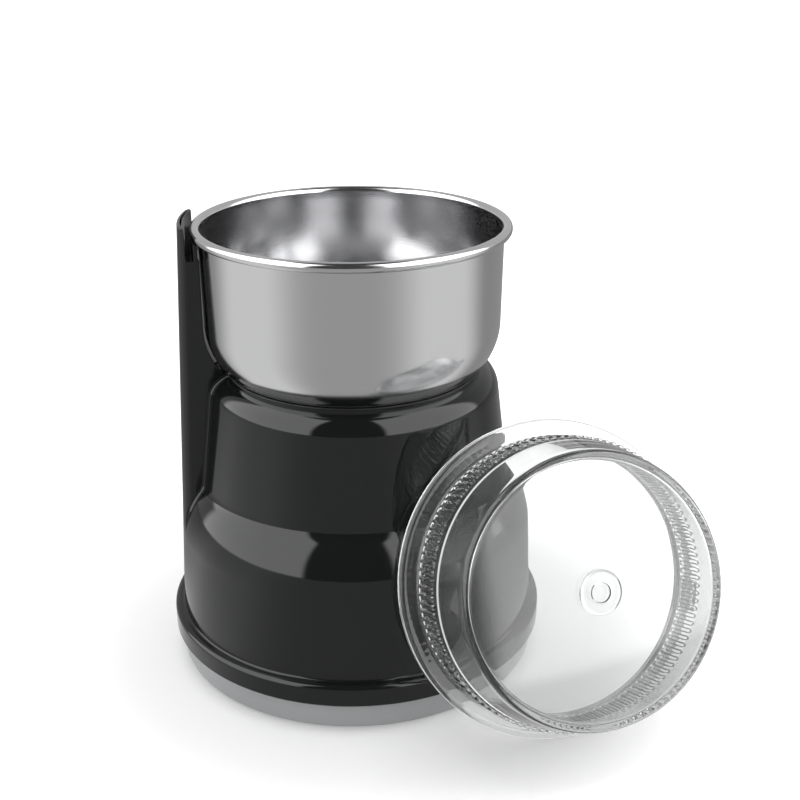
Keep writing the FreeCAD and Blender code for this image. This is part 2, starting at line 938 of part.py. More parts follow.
def brackets():
    """End brackets of the motor, each with the pocket of its bearing."""
    pocket = named("bearing_radius") + fit
    upper = Piece("upper_bracket")
    plate = upper.sketch("XY_Plane", bracket_low)
    disc(plate, (0, 0), named("stator_radius"))
    disc(plate, (0, 0), named("shaft_radius") * 1.5)
    for third in range(3):
        disc(plate, around(mount_circle, 120 * third), mount_screw_radius + fit)
    for side in range(2):
        disc(plate, around(bolt_circle, 90 + 180 * side), named("bolt_radius") + fit)
    upper.extrude(plate, named("bracket_thickness"))
    hub = upper.sketch("XY_Plane", bracket_low)
    disc(hub, (0, 0), named("bracket_hub"))
    disc(hub, (0, 0), pocket)
    upper.extrude(hub, named("bearing_width") * 0.7, back=True)

    lower = Piece("lower_bracket")
    plate = lower.sketch("XY_Plane", lower_bracket_low)
    disc(plate, (0, 0), named("stator_radius"))
    disc(plate, (0, 0), named("shaft_radius") * 1.5)
    for side in range(2):
        disc(plate, around(bolt_circle, 90 + 180 * side), named("bolt_radius") + fit)
    lower.extrude(plate, named("bracket_thickness"))
    hub = lower.sketch("XY_Plane", lower_bracket_low)
    disc(hub, (0, 0), named("bracket_hub"))
    disc(hub, (0, 0), pocket)
    lower.extrude(hub, named("bearing_width") * 0.7, back=True)


def motor_bolts():
    """Two long bolts that clamp the brackets and the stator."""
    piece = Piece("motor_bolts")
    shanks = piece.sketch("XY_Plane", lower_bracket_low)
    heads = piece.sketch("XY_Plane", lower_bracket_low)
    nuts = piece.sketch("XY_Plane", bracket_top)
    for side in range(2):
        centre = around(bolt_circle, 90 + 180 * side)
        disc(shanks, centre, named("bolt_radius"))
        disc(heads, centre, named("bolt_radius") * 1.8)
        disc(nuts, centre, named("bolt_radius") * 1.7)
    piece.extrude(shanks, bracket_top - lower_bracket_low)
    piece.extrude(heads, named("bolt_radius"), back=True)
    piece.extrude(nuts, named("bolt_radius"))


def motor_mounts():
    """Rubber dampers under the hangers, and the screws through them."""
    dampers = Piece("rubber_mounts")
    sketch = dampers.sketch("XY_Plane", bracket_top)
    for third in range(3):
        centre = around(mount_circle, 120 * third)
        disc(sketch, centre, named("mount_radius"))
        disc(sketch, centre, mount_screw_radius + fit)
    dampers.extrude(sketch, named("mount_height"))
    screws = Piece("mount_screws")
    shanks = screws.sketch("XY_Plane", bracket_low)
    heads = screws.sketch("XY_Plane", bracket_low)
    for third in range(3):
        centre = around(mount_circle, 120 * third)
        disc(shanks, centre, mount_screw_radius)
        disc(heads, centre, named("screw_head_radius"))
    screws.extrude(shanks, well_roof - bracket_low - fit)
    screws.extrude(heads, named("screw_head_height"), back=True)


def brushes():
    """Two carbon brushes on the commutator, in box holders that stand on the bracket."""
    half = named("brush_size") / 2
    inner = named("commutator_radius") + named("running")
    outer = inner + named("brush_length")
    shell = half + named("holder_wall")
    carbon = Piece("carbon_brushes")
    sketch = carbon.sketch("XY_Plane", brush_height - half)
    for side in (1, -1):
        box_loop(sketch, (side * inner, -half), (side * outer, half))
    carbon.extrude(sketch, named("brush_size"))
    holders = Piece("brush_holders")
    holder_inner = inner + named("brush_size") / 3
    sketch = holders.sketch("XY_Plane", lower_bracket_top)
    for side in (1, -1):
        box_loop(sketch, (side * holder_inner, -shell), (side * (outer + wall), shell))
    holders.extrude(sketch, brush_height + shell - lower_bracket_top)
    room = holders.sketch("XY_Plane", brush_height - half - fit / 2)
    for side in (1, -1):
        box_loop(
            room,
            (side * (holder_inner - 1), -half - fit / 2),
            (side * (outer + fit), half + fit / 2),
        )
    holders.extrude(room, named("brush_size") + fit, cut=True)


def cooling_fan():
    """Radial fan on the lower end of the shaft."""
    piece = Piece("cooling_fan")
    low = named("shaft_low") + named("fan_web")
    plate = piece.sketch("XY_Plane", low)
    disc(plate, (0, 0), named("fan_radius"))
    disc(plate, (0, 0), named("shaft_radius"))
    piece.extrude(plate, named("fan_web"))
    hub = piece.sketch("XY_Plane", low)
    disc(hub, (0, 0), named("fan_hub"))
    disc(hub, (0, 0), named("shaft_radius"))
    piece.extrude(hub, named("fan_height") * 0.8)
    vane = piece.sketch("XY_Plane", low)
    half = named("fan_web") / 2
    box_loop(vane, (named("fan_hub") + 1, -half), (named("fan_radius") - 1, half))
    blade = piece.extrude(vane, named("fan_height"))
    piece.repeat(blade, vane, named("fan_blades"))


def hexagon(sketch, across):
    """Six-sided outline whose corners lie on a circle."""
    loop(sketch, [around(across, 60 * corner) for corner in range(6)])


def couplings():
    """Male hexagon on the motor shaft and the bowl's cup that drops over it."""
    male = Piece("drive_coupling")
    sketch = male.sketch("XY_Plane", coupling_low)
    hexagon(sketch, named("coupling_across"))
    male.extrude(sketch, named("coupling_height"))
    bore = male.sketch("XY_Plane", coupling_low)
    disc(bore, (0, 0), named("shaft_tip_radius"))
    male.extrude(bore, shaft_high - coupling_low, cut=True)
    cup = Piece("bowl_coupling")
    sketch = cup.sketch("XY_Plane", cup_low)
    disc(sketch, (0, 0), named("coupling_cup_radius") - fit)
    cup.extrude(sketch, named("coupling_cup_height"))
    socket = cup.sketch("XY_Plane", cup_low)
    hexagon(socket, named("coupling_across") + named("coupling_play"))
    cup.extrude(socket, named("coupling_height"), cut=True)
    tube("shaft_seal", named("shaft_tip_radius") + named("running"), seal_radius, well_roof, well_floor)


def bowl_shell():
    """Steel bowl with a round bottom corner and a rolled rim."""
    piece = Piece("bowl_shell")
    thick = named("bowl_wall")
    corner = named("bowl_corner")
    sketch = piece.sketch("XZ_Plane")
    loop(
        sketch,
        [
            (named("bush_radius"), bowl_floor),
            (bowl_flat, bowl_floor),
            (bowl_radius, bowl_bend, corner),
            (bowl_mouth, roll_height),
            (bowl_mouth - thick, roll_height),
            (bowl_radius - thick, bowl_bend),
            (bowl_flat, bowl_floor + thick, -(corner - thick)),
            (named("bush_radius"), bowl_floor + thick),
        ],
    )
    piece.spin(sketch)
    roll = piece.sketch("XZ_Plane")
    disc(roll, (roll_circle, roll_height), named("roll_radius"))
    piece.spin(roll)


def bowl_foot():
    """Plastic foot under the bowl that stands in the well on three lugs."""
    piece = Piece("bowl_foot")
    low = well_floor + fit
    sketch = piece.sketch("XY_Plane", low)
    disc(sketch, (0, 0), bowl_foot_radius)
    disc(sketch, (0, 0), named("bowl_foot_bore"))
    piece.extrude(sketch, bowl_floor - low)
    lugs = piece.sketch("XY_Plane", low)
    for third in range(3):
        disc(lugs, around(lug_circle, 60 + 120 * third), named("lug_radius"))
    piece.extrude(lugs, named("lug_height"), back=True)


def blade_set():
    """Bush, shaft, washer, blade and nut on the bowl's axis."""
    bush = Piece("bowl_bush")
    inner = named("blade_shaft_radius") + named("running")
    floor = bowl_floor + named("bowl_wall")
    sketch = bush.sketch("XZ_Plane")
    loop(
        sketch,
        [
            (inner, cup_high + fit * 3),
            (named("bush_radius"), cup_high + fit * 3),
            (named("bush_radius"), floor),
            (named("bush_flange"), floor),
            (named("bush_flange"), floor + wall / 2),
            (named("bush_radius"), floor + wall),
            (named("bush_radius"), floor + named("bush_height")),
            (inner, floor + named("bush_height")),
        ],
    )
    bush.spin(sketch)
    washer_low = floor + named("bush_height") + fit
    blade_base = washer_low + named("washer_thickness")
    blade_top = blade_base + named("blade_thickness")
    tube(
        "blade_washer",
        named("blade_shaft_radius"),
        named("bush_radius") + named("washer_thickness"),
        washer_low,
        blade_base,
    )
    tube(
        "blade_shaft",
        None,
        named("blade_shaft_radius"),
        cup_high,
        blade_top + named("nut_height") * 0.8,
    )
    blade = Piece("blade")
    reach = bowl_radius - named("blade_gap")
    bend = reach - named("blade_bend") * 2
    rise = named("blade_bend")
    thick = named("blade_thickness")
    side = blade.sketch("XZ_Plane")
    loop(
        side,
        [
            (-reach, blade_base - rise),
            (-reach, blade_base - rise + thick),
            (-bend, blade_top),
            (bend, blade_top),
            (reach, blade_top + rise),
            (reach, blade_top + rise - thick),
            (bend, blade_base),
            (-bend, blade_base),
        ],
    )
    blade.extrude(side, named("blade_width"), both=True)
    half = named("blade_width") / 2
    trim = blade.sketch("XY_Plane", blade_base - rise - 1)
    for sign in (1, -1):
        loop(
            trim,
            [
                (sign * named("blade_hub"), sign * (half + 1)),
                (sign * named("blade_hub"), sign * half),
                (sign * (reach + 1), sign * half * 0.1),
                (sign * (reach + 1), sign * (half + 1)),
            ],
        )
    blade.extrude(trim, rise * 2 + thick + 2, cut=True)
    hole = blade.sketch("XY_Plane", blade_base)
    disc(hole, (0, 0), named("blade_shaft_radius"))
    blade.extrude(hole, thick, cut=True)
    nut = Piece("blade_nut")
    sketch = nut.sketch("XY_Plane", blade_top)
    hexagon(sketch, named("nut_across"))
    nut.extrude(sketch, named("nut_height"))
    bore = nut.sketch("XY_Plane", blade_top)
    disc(bore, (0, 0), named("blade_shaft_radius"))
    nut.extrude(bore, named("nut_height") * 0.8, cut=True)


# Places of the interlock, under the column
rod_middle = (slot_inner + slot_outer) / 2
switch_top = named("switch_low") + named("switch_height")
plunger_top = switch_top + named("plunger_height")
spring_low = switch_top + fit
rod_foot_low = spring_low + named("spring_length") + fit
rod_top = slot_floor + named("rod_rise")
spring_side = named("rod_foot_width") / 2 - named("spring_radius") - named("spring_wire") * 2


def push_rod():
    """Flat rod in the column, with a pointed head in the slot and a foot on the spring."""
    piece = Piece("push_rod")
    half_thick = named("rod_thickness") / 2
    inner = -(rod_middle - half_thick)
    outer = -(rod_middle + half_thick)
    half = named("rod_width") / 2
    strip = piece.sketch("YZ_Plane", outer)
    neck = slot_floor + fit
    loop(
        strip,
        [
            (-half, rod_foot_low),
            (half, rod_foot_low),
            (half, neck),
            (half * 0.3, rod_top),
            (-half * 0.3, rod_top),
            (-half, neck),
        ],
    )
    piece.extrude(strip, named("rod_thickness"))
    foot = piece.sketch("XY_Plane", rod_foot_low)
    foot_half = named("rod_foot_width") / 2
    box_loop(
        foot,
        (outer, -foot_half),
        (inner + named("spring_radius") * 2, foot_half),
    )
    piece.extrude(foot, named("rod_foot_thickness"))
    nose = piece.sketch("XY_Plane", rod_foot_low)
    disc(nose, (-rod_middle + half_thick, 0), named("plunger_radius") * 1.5)
    piece.extrude(nose, rod_foot_low - plunger_top, back=True)


def micro_switch():
    """Switch body on its bracket, and the plunger that the rod presses."""
    half_long = named("switch_length") / 2
    centre = rod_middle - named("rod_thickness") / 2
    outer = centre + named("switch_depth") / 2
    inner = centre - named("switch_depth") / 2
    case = Piece("micro_switch")
    sketch = case.sketch("XY_Plane", named("switch_low"))
    box_loop(sketch, (-outer, -half_long), (-inner, half_long))
    case.extrude(sketch, named("switch_height"))
    well = case.sketch("XY_Plane", switch_top)
    disc(well, (-centre, 0), named("plunger_radius") + fit)
    case.extrude(well, named("switch_height") * 0.6, cut=True, back=True)
    plunger = Piece("switch_plunger")
    sketch = plunger.sketch("XY_Plane", switch_top - named("rod_travel") * 1.5)
    disc(sketch, (-centre, 0), named("plunger_radius"))
    plunger.extrude(sketch, named("plunger_height") + named("rod_travel") * 1.5)
    bracket = Piece("switch_bracket")
    stand = bracket.sketch("XY_Plane", cover_top)
    box_loop(
        stand,
        (-inner + fit, -half_long),
        (-inner + fit + named("shelf_thickness"), half_long),
    )
    bracket.extrude(stand, switch_top - cover_top)
    shelf = bracket.sketch("XY_Plane", named("switch_low") - named("shelf_thickness"))
    box_loop(shelf, (-outer, -half_long), (-inner + named("shelf_thickness") / 2, half_long))
    bracket.extrude(shelf, named("shelf_thickness"))
    foot = bracket.sketch("XY_Plane", cover_top)
    box_loop(foot, (-outer, -half_long), (-inner + named("shelf_thickness") / 2, half_long))
    bracket.extrude(foot, named("shelf_thickness"))


def return_spring():
    """Coil that stands on the switch beside its plunger and lifts the rod's foot."""
    wire = named("spring_wire").value
    radius = named("spring_radius").value
    turns = named("spring_turns").value
    height = named("spring_length").value - wire
    base = Part.makeHelix(height / turns, height, radius)
    path = Part.Wire(base.Edges)
    section = Part.Wire(
        Part.Circle(FreeCAD.Vector(radius, 0, 0), FreeCAD.Vector(0, 1, height / turns / 6), wire / 2)
        .toShape()
    )
    coil = doc.addObject("Part::Feature", "return_spring")
    coil.Label = "return_spring"
    coil.Shape = path.makePipeShell([section], True, False)
    bind(coil, "Placement.Base.x", -(rod_middle - named("rod_thickness") / 2))
    bind(coil, "Placement.Base.y", spring_side)
    bind(coil, "Placement.Base.z", spring_low + named("spring_wire") / 2)
    PIECES.append(coil)


def circuit_board():
    """Upright board with a capacitor and a rectifier, held by two slotted posts."""
    half = named("board_width") / 2
    near = drum_radius - named("board_inset")
    far = near + named("board_thickness")
    board = Piece("circuit_board")
    sketch = board.sketch("XY_Plane", named("board_low"))
    box_loop(sketch, (near, -half), (far, half))
    board.extrude(sketch, named("board_height"))
    middle = named("board_low") + named("board_height") / 2
    capacitor = Piece("capacitor")
    sketch = capacitor.sketch("YZ_Plane", near)
    disc(sketch, (half / 2, middle), named("capacitor_radius"))
    capacitor.extrude(sketch, named("capacitor_length") / 2, back=True)
    rectifier = Piece("rectifier")
    sketch = rectifier.sketch("YZ_Plane", near)
    quarter = named("capacitor_radius")
    box_loop(sketch, (-half / 2 - quarter, middle - quarter), (-half / 2 + quarter, middle + quarter))
    rectifier.extrude(sketch, named("board_thickness") * 2, back=True)
    posts = Piece("board_posts")
    sketch = posts.sketch("XY_Plane", cover_top)
    post = named("post_size")
    for sign in (1, -1):
        box_loop(
            sketch,
            (near - post / 2, sign * (half - post)),
            (far + post / 2, sign * (half + post / 2)),
        )
    posts.extrude(sketch, named("board_low") + post - cover_top)
    groove = posts.sketch("XY_Plane", named("board_low"))
    for sign in (1, -1):
        box_loop(
            groove,
            (near - fit, sign * (half - post - 1)),
            (far + fit, sign * (half + fit)),
        )
    posts.extrude(groove, post, cut=True)


def lid_profile(piece):
    """Clear cup: flange at its mouth, wall with a grip band, and a slightly domed top."""
    thick = named("lid_wall")
    rim = lid_radius
    grip = lid_grip_radius
    bevel = named("lid_bevel")
    flange = named("lid_flange")
    depth = named("lid_depth")
    top = lid_top_radius
    edge = named("lid_edge")
    grip_high = named("lid_grip_low") + named("lid_grip_height")
    dome = named("lid_dome")
    dome_radius = (top - edge) * (top - edge) / (dome * 2) + dome / 2
    inner_top = top - thick
    inner_dome_radius = inner_top * inner_top / (dome * 2) + dome / 2
    sketch = piece.sketch("XZ_Plane")
    loop(
        sketch,
        [
            (rim - thick, 0),
            (rim, 0),
            (rim, flange - bevel),
            (rim - bevel, flange, bevel),
            (grip + bevel, flange),
            (grip, flange + bevel, -bevel),
            (grip, grip_high),
            (top, depth - edge),
            (top - edge, depth, edge),
            (0, depth + dome, dome_radius),
            (0, depth + dome - thick),
            (inner_top, depth - thick, -inner_dome_radius),
            (grip - thick, grip_high),
            (grip - thick, flange - bevel / 2),
            (rim - thick, flange - bevel),
        ],
    )
    piece.spin(sketch)
    boss = piece.sketch("XY_Plane", depth)
    disc(boss, (0, 0), named("lid_boss_radius"))
    disc(boss, (0, 0), named("lid_boss_radius") / 2)
    piece.extrude(boss, dome + named("lid_boss_height"))


def lid_ribs():
    """Band of fine grip ribs: a star-shaped ring as high as the grip."""
    count = int(named("rib_count").value)
    inner = lid_grip_radius.value - named("lid_wall").value / 2
    valley = lid_grip_radius.value
    crest = valley + named("rib_height").value
    step = 2 * math.pi / count
    points = []
    for number in range(count):
        for share, radius in ((0.0, valley), (0.3, crest), (0.5, crest), (0.8, valley)):
            angle = (number + share) * step
            points.append(FreeCAD.Vector(radius * math.cos(angle), radius * math.sin(angle), 0))
    height = named("lid_grip_height").value
    star = Part.Face(Part.makePolygon(points + points[:1])).extrude(FreeCAD.Vector(0, 0, height))
    band = doc.addObject("Part::Feature", "lid_ribs")
    band.Shape = star.cut(Part.makeCylinder(inner, height))
    bind(band, "Placement.Base.z", named("lid_grip_low"))
    return band


def lid():
    """The lid, tilted so that its flange stands on the table and leans on the body."""
    piece = Piece("lid_cup")
    PIECES.remove(piece.body)
    lid_profile(piece)
    tongue = piece.sketch("XY_Plane", named("lid_flange"))
    half = named("tongue_width") / 2
    near = lid_radius - named("lid_wall") / 2
    far = slot_outer - fit * 4
    turn = named("tongue_angle")
    corners = ((near, -half), (far, -half), (far, half), (near, half))
    loop(
        tongue,
        [
            (x * cosine(turn) - y * sine(turn), x * sine(turn) + y * cosine(turn))
            for x, y in corners
        ],
    )
    piece.extrude(tongue, named("lid_flange") + named("tongue_drop"), back=True)
    shell = doc.addObject("Part::Fuse", "lid_shell")
    shell.Label = "lid_shell"
    shell.Base = piece.body
    shell.Tool = lid_ribs()
    reach = drum_radius + named("lid_gap")
    bind(shell, "Placement.Base.x", reach * cosine(named("lid_bearing_angle")))
    bind(shell, "Placement.Base.y", reach * sine(named("lid_bearing_angle")))
    bind(shell, "Placement.Base.z", lid_radius * cosine(named("lid_tilt_angle")))
    bind(shell, "Placement.Rotation.Yaw", named("lid_turn_angle"))
    bind(shell, "Placement.Rotation.Pitch", QUARTER_TURN - named("lid_tilt_angle"))
    PIECES.append(shell)


def check_document():
    """Stop before anything is written if a piece failed."""
    doc.recompute()
    for item in doc.Objects:
        if "Invalid" in item.State or "Error" in item.State:
            raise RuntimeError(f"{item.Name} failed: {item.State}")
    for item in PIECES:
        if item.Shape.isNull() or not item.Shape.isValid() or not item.Shape.Solids:
            raise RuntimeError(f"{item.Label} has no valid solid")


def write_parts():
    """Write one file for each piece."""
    os.makedirs("parts", exist_ok=True)
    for item in PIECES:
        item.Shape.exportStep(os.path.join("parts", item.Label + ".step"))
        print(item.Label, len(item.Shape.Solids), round(item.Shape.Volume, 1))


body_shell()
base_ring()
bottom_cover()
rubber_feet()
base_screws()
seat_ring()
cord_inlet()
stator()
armature()
bearing("upper_bearing", bracket_low - named("bearing_width"))
bearing("lower_bearing", lower_bracket_low - named("bearing_width"))
brackets()
motor_bolts()
motor_mounts()
brushes()
cooling_fan()
couplings()
bowl_shell()
bowl_foot()
blade_set()
push_rod()
micro_switch()
return_spring()
circuit_board()
lid()
check_document()
write_parts()
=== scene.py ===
"""Looks of an electric spice grinder with a lift-out steel bowl and a clear lid.

Sizes are in millimetres in the code and go into the meshes in metres. The frame is the
part's own: +Z up, the shaft on the Z axis, the column at -X.
"""

from __future__ import annotations

import json
import logging
import math
from dataclasses import dataclass, field
from enum import Enum
from functools import cache

import bmesh
import bpy
import numpy as np
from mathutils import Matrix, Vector

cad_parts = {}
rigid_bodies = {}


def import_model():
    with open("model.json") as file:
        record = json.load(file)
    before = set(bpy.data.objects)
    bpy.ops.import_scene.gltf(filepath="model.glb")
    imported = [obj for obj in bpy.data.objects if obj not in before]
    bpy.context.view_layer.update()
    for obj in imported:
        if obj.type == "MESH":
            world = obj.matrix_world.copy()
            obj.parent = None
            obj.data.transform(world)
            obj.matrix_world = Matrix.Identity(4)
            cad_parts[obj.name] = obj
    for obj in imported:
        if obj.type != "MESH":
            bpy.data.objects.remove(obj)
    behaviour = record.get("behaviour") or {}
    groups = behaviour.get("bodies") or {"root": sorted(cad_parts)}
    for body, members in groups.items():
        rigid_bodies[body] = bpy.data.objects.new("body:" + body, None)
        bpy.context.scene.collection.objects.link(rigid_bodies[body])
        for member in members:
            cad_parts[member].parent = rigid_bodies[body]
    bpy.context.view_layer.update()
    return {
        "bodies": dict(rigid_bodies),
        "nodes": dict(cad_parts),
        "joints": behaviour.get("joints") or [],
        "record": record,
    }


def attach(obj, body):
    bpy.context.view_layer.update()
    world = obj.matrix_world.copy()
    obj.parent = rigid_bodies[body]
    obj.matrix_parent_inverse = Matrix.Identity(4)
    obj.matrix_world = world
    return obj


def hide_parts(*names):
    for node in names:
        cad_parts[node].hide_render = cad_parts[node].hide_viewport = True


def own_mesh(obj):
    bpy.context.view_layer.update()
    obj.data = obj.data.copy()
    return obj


LOG = logging.getLogger("spice_grinder")
MM = 0.001
SHARP_ANGLE = math.radians(38)
LID_SHARP_ANGLE = math.radians(30)
LONGEST_EDGE = 2.5
COAT_ROUGHNESS = 0.04
WHITE = (1.0, 1.0, 1.0, 1.0)
# a noise's usual lowest and highest value, and the inputs of a Map Range node
NOISE_SPAN = (0.3, 0.7)
RANGE = ("Value", "From Min", "From Max", "To Min", "To Max")
# a smooth rise: the two edges that it lies between, then its results before and after them
Rise = tuple[float, float, float, float]


def linear_colour(hex_code: str) -> tuple[float, float, float, float]:
    """Turn an sRGB hex colour into the linear numbers that shaders use.

    Args:
        hex_code: six hex digits, with or without a leading #.

    Returns:
        Red, green, blue and an alpha of 1.
    """
    digits = hex_code.lstrip("#")
    parts = [int(digits[place : place + 2], 16) / 255 for place in (0, 2, 4)]
    linear = [
        part / 12.92 if part <= 0.04045 else ((part + 0.055) / 1.055) ** 2.4 for part in parts
    ]
    return linear[0], linear[1], linear[2], 1.0


def per_metre(feature_mm: float) -> float:
    """Scale of a pattern, in repeats per metre, whose feature has a real size.

    Args:
        feature_mm: size of one grain, ripple or line, in millimetres.
    """
    return 1000.0 / feature_mm


def add_node(
    tree: bpy.types.NodeTree,
    kind: str,
    inputs: dict[str | int, object] | None = None,
    **settings: object,
) -> bpy.types.Node:
    """Add one node with its settings, and set or link its inputs.

    Args:
        tree: the node tree that gets the node.
        kind: Blender's type name of the node, after the words ShaderNode.
        inputs: input names or numbers, each with its value or with the output that feeds it.
        settings: attributes of the node itself.

    Returns:
        The new node.
    """
    node = tree.nodes.new("ShaderNode" + kind)
    for name, value in settings.items():
        setattr(node, name, value)
    for name, value in (inputs or {}).items():
        if isinstance(value, bpy.types.NodeSocket):
            tree.links.new(value, node.inputs[name])
        else:
            node.inputs[name].default_value = value
    return node


@dataclass(frozen=True)
class Finish:
    """A material: its name, its colour and the shader values of its surface."""

    name: str
    colour: str
    roughness: float
    metallic: float = 0.0
    ior: float = 1.5
    mottle: float = 0.0
    mottle_mm: float = 20.0
    ripple_mm: float = 1.0
    ripple_height: float = 0.0
    stretch: tuple[float, float, float] = (1.0, 1.0, 1.0)
    coat: float = 0.0
    transmission: float = 0.0

    @cache
    def build(self) -> bpy.types.Material:
        """Make the material's nodes when it is first asked for, and then give it again.

        The roughness wavers by the mottle over patches of mottle_mm, and the bump is a noise
        of ripple_mm, which the stretch draws out into lines along an axis.

        Returns:
            The material.
        """
        material = bpy.data.materials.new(self.name)
        material.use_nodes = True
        tree = material.node_tree
        tree.nodes.clear()
        shader = add_node(
            tree,
            "BsdfPrincipled",
            {
                "Base Color": linear_colour(self.colour),
                "Metallic": self.metallic,
                "Roughness": self.roughness,
                "Transmission Weight": self.transmission,
                "Coat Weight": self.coat,
                "Coat Roughness": COAT_ROUGHNESS,
            },
        )
        if self.metallic < 0.5:
            shader.inputs["IOR"].default_value = self.ior
        place = add_node(tree, "TexCoord").outputs["Object"]
        if self.mottle > 0:
            scale = per_metre(self.mottle_mm)
            patches = add_node(tree, "TexNoise", {"Vector": place, "Scale": scale, "Detail": 3.0})
            limits = max(self.roughness - self.mottle, 0.0), self.roughness + self.mottle
            spread = patches.outputs["Fac"], *NOISE_SPAN, *limits
            wear = add_node(tree, "MapRange", dict(zip(RANGE, spread)))
            tree.links.new(wear.outputs["Result"], shader.inputs["Roughness"])
        if self.ripple_height > 0:
            scale = per_metre(self.ripple_mm)
            drawn = add_node(tree, "Mapping", {"Vector": place, "Scale": self.stretch})
            line = drawn.outputs["Vector"]
            ripple = add_node(tree, "TexNoise", {"Vector": line, "Scale": scale, "Detail": 2.0})
            height = {"Height": ripple.outputs["Fac"], "Distance": self.ripple_height * MM}
            bump = add_node(tree, "Bump", {"Strength": 1.0, **height})
            tree.links.new(bump.outputs["Normal"], shader.inputs["Normal"])
        add_node(tree, "OutputMaterial", {"Surface": shader.outputs["BSDF"]})
        return material


class Surfaces(Enum):
    """The finishes of the grinder, each named for its stuff and how it is made."""

    # high-gloss injection-moulded ABS: black with sharp reflections and a faint orange peel
    GLOSS_BLACK_ABS = Finish(
        "gloss_black_moulded_abs", "#191b1a", 0.07, ior=1.46, mottle=0.02, mottle_mm=24.0,
        ripple_mm=2.2, ripple_height=0.002,
    )
    # silver-sprayed ABS: a satin pearl with fine metal flakes in the lacquer
    SILVER_SPRAYED_ABS = Finish(
        "silver_sprayed_abs", "#b5b7b8", 0.38, metallic=0.12, mottle=0.05, mottle_mm=0.7,
        ripple_mm=0.5, ripple_height=0.002,
    )
    # deep-drawn stainless steel, buffed on a spindle: bright, with faint rings round the bowl
    BUFFED_STEEL = Finish(
        "deep_drawn_buffed_stainless_steel", "#d6d6d7", 0.15, metallic=1.0, mottle=0.03,
        mottle_mm=14.0, ripple_mm=6.0, ripple_height=0.006, stretch=(1.0, 1.0, 22.0),
    )
    # stamped and ground blade steel: duller than the bowl, with grinding lines along its length
    GROUND_STEEL = Finish(
        "stamped_ground_blade_steel", "#c4c5c7", 0.28, metallic=1.0,
        ripple_mm=3.0, ripple_height=0.008, stretch=(1.0, 14.0, 14.0),
    )
    # moulded nitrile rubber: near black, matt, slightly grainy
    NITRILE_RUBBER = Finish(
        "moulded_nitrile_rubber", "#18191a", 0.62, ior=1.52, mottle=0.06, mottle_mm=4.0,
        ripple_mm=0.6, ripple_height=0.02,
    )
    # spark-eroded ABS: dark and matt with a fine even grain
    GRAINED_BLACK_ABS = Finish(
        "spark_grained_black_abs", "#222324", 0.5, ior=1.53, mottle=0.05, mottle_mm=5.0,
        ripple_mm=0.5, ripple_height=0.03,
    )
    # clear injection-moulded SAN: a wall that greys a little at each surface, so thick edges and
    # ribs draw dark, with a faint haze and a soft skin ripple
    CLEAR_SAN = Finish(
        "clear_moulded_san", "#e4e5e5", 0.02, ior=1.5, ripple_mm=24.0, ripple_height=0.006,
        transmission=0.97,
    )
    # zinc-plated screw steel: bluish bright metal
    ZINC_STEEL = Finish(
        "zinc_plated_screw_steel", "#b9bdc2", 0.3, metallic=1.0, mottle=0.06, mottle_mm=2.0,
    )
    # blued silicon-steel laminations: dull dark metal with the lines of the stack
    LAMINATION_STEEL = Finish(
        "blued_lamination_steel", "#5d5f64", 0.45, metallic=1.0, ripple_mm=8.0,
        ripple_height=0.05, stretch=(1.0, 1.0, 16.0),
    )
    # enamelled copper wire under varnish: warm brown metal with the ridges of its turns
    ENAMELLED_COPPER = Finish(
        "varnished_enamelled_copper_wire", "#b5622f", 0.32, metallic=0.9, ripple_mm=5.0,
        ripple_height=0.12, stretch=(1.0, 1.0, 10.0), coat=0.5,
    )
    # pressure-cast aluminium: pale grey satin metal
    CAST_ALUMINIUM = Finish(
        "pressure_cast_aluminium", "#a9abad", 0.42, metallic=1.0, mottle=0.08, mottle_mm=3.0,
        ripple_mm=0.8, ripple_height=0.02,
    )
    # hardened bearing steel: ground mirror-bright
    BEARING_STEEL = Finish(
        "ground_bearing_steel", "#cfd1d3", 0.12, metallic=1.0, mottle=0.04, mottle_mm=3.0,
    )
    # natural nylon: milky white, waxy
    NATURAL_NYLON = Finish(
        "natural_moulded_nylon", "#dedcd2", 0.4, ior=1.53, mottle=0.05, mottle_mm=6.0,
        ripple_mm=0.9, ripple_height=0.015,
    )
    # pressed carbon-graphite: soft black with a faint metallic sheen
    CARBON_GRAPHITE = Finish(
        "pressed_carbon_graphite", "#2b2c2e", 0.5, ior=1.8, mottle=0.08, mottle_mm=1.0,
        ripple_mm=0.4, ripple_height=0.02,
    )
    # glass-fibre board under solder resist: glossy deep green with the weave just showing
    BOARD_RESIST = Finish(
        "solder_resist_on_fibre_board", "#1f4a2c", 0.25, ior=1.5, ripple_mm=1.0,
        ripple_height=0.01, coat=0.4,
    )
    # moulded epoxy of the board's components: charcoal, matt
    MOULDED_EPOXY = Finish(
        "moulded_component_epoxy", "#33353a", 0.55, ior=1.55, mottle=0.05, mottle_mm=1.5,
        ripple_mm=0.4, ripple_height=0.01,
    )


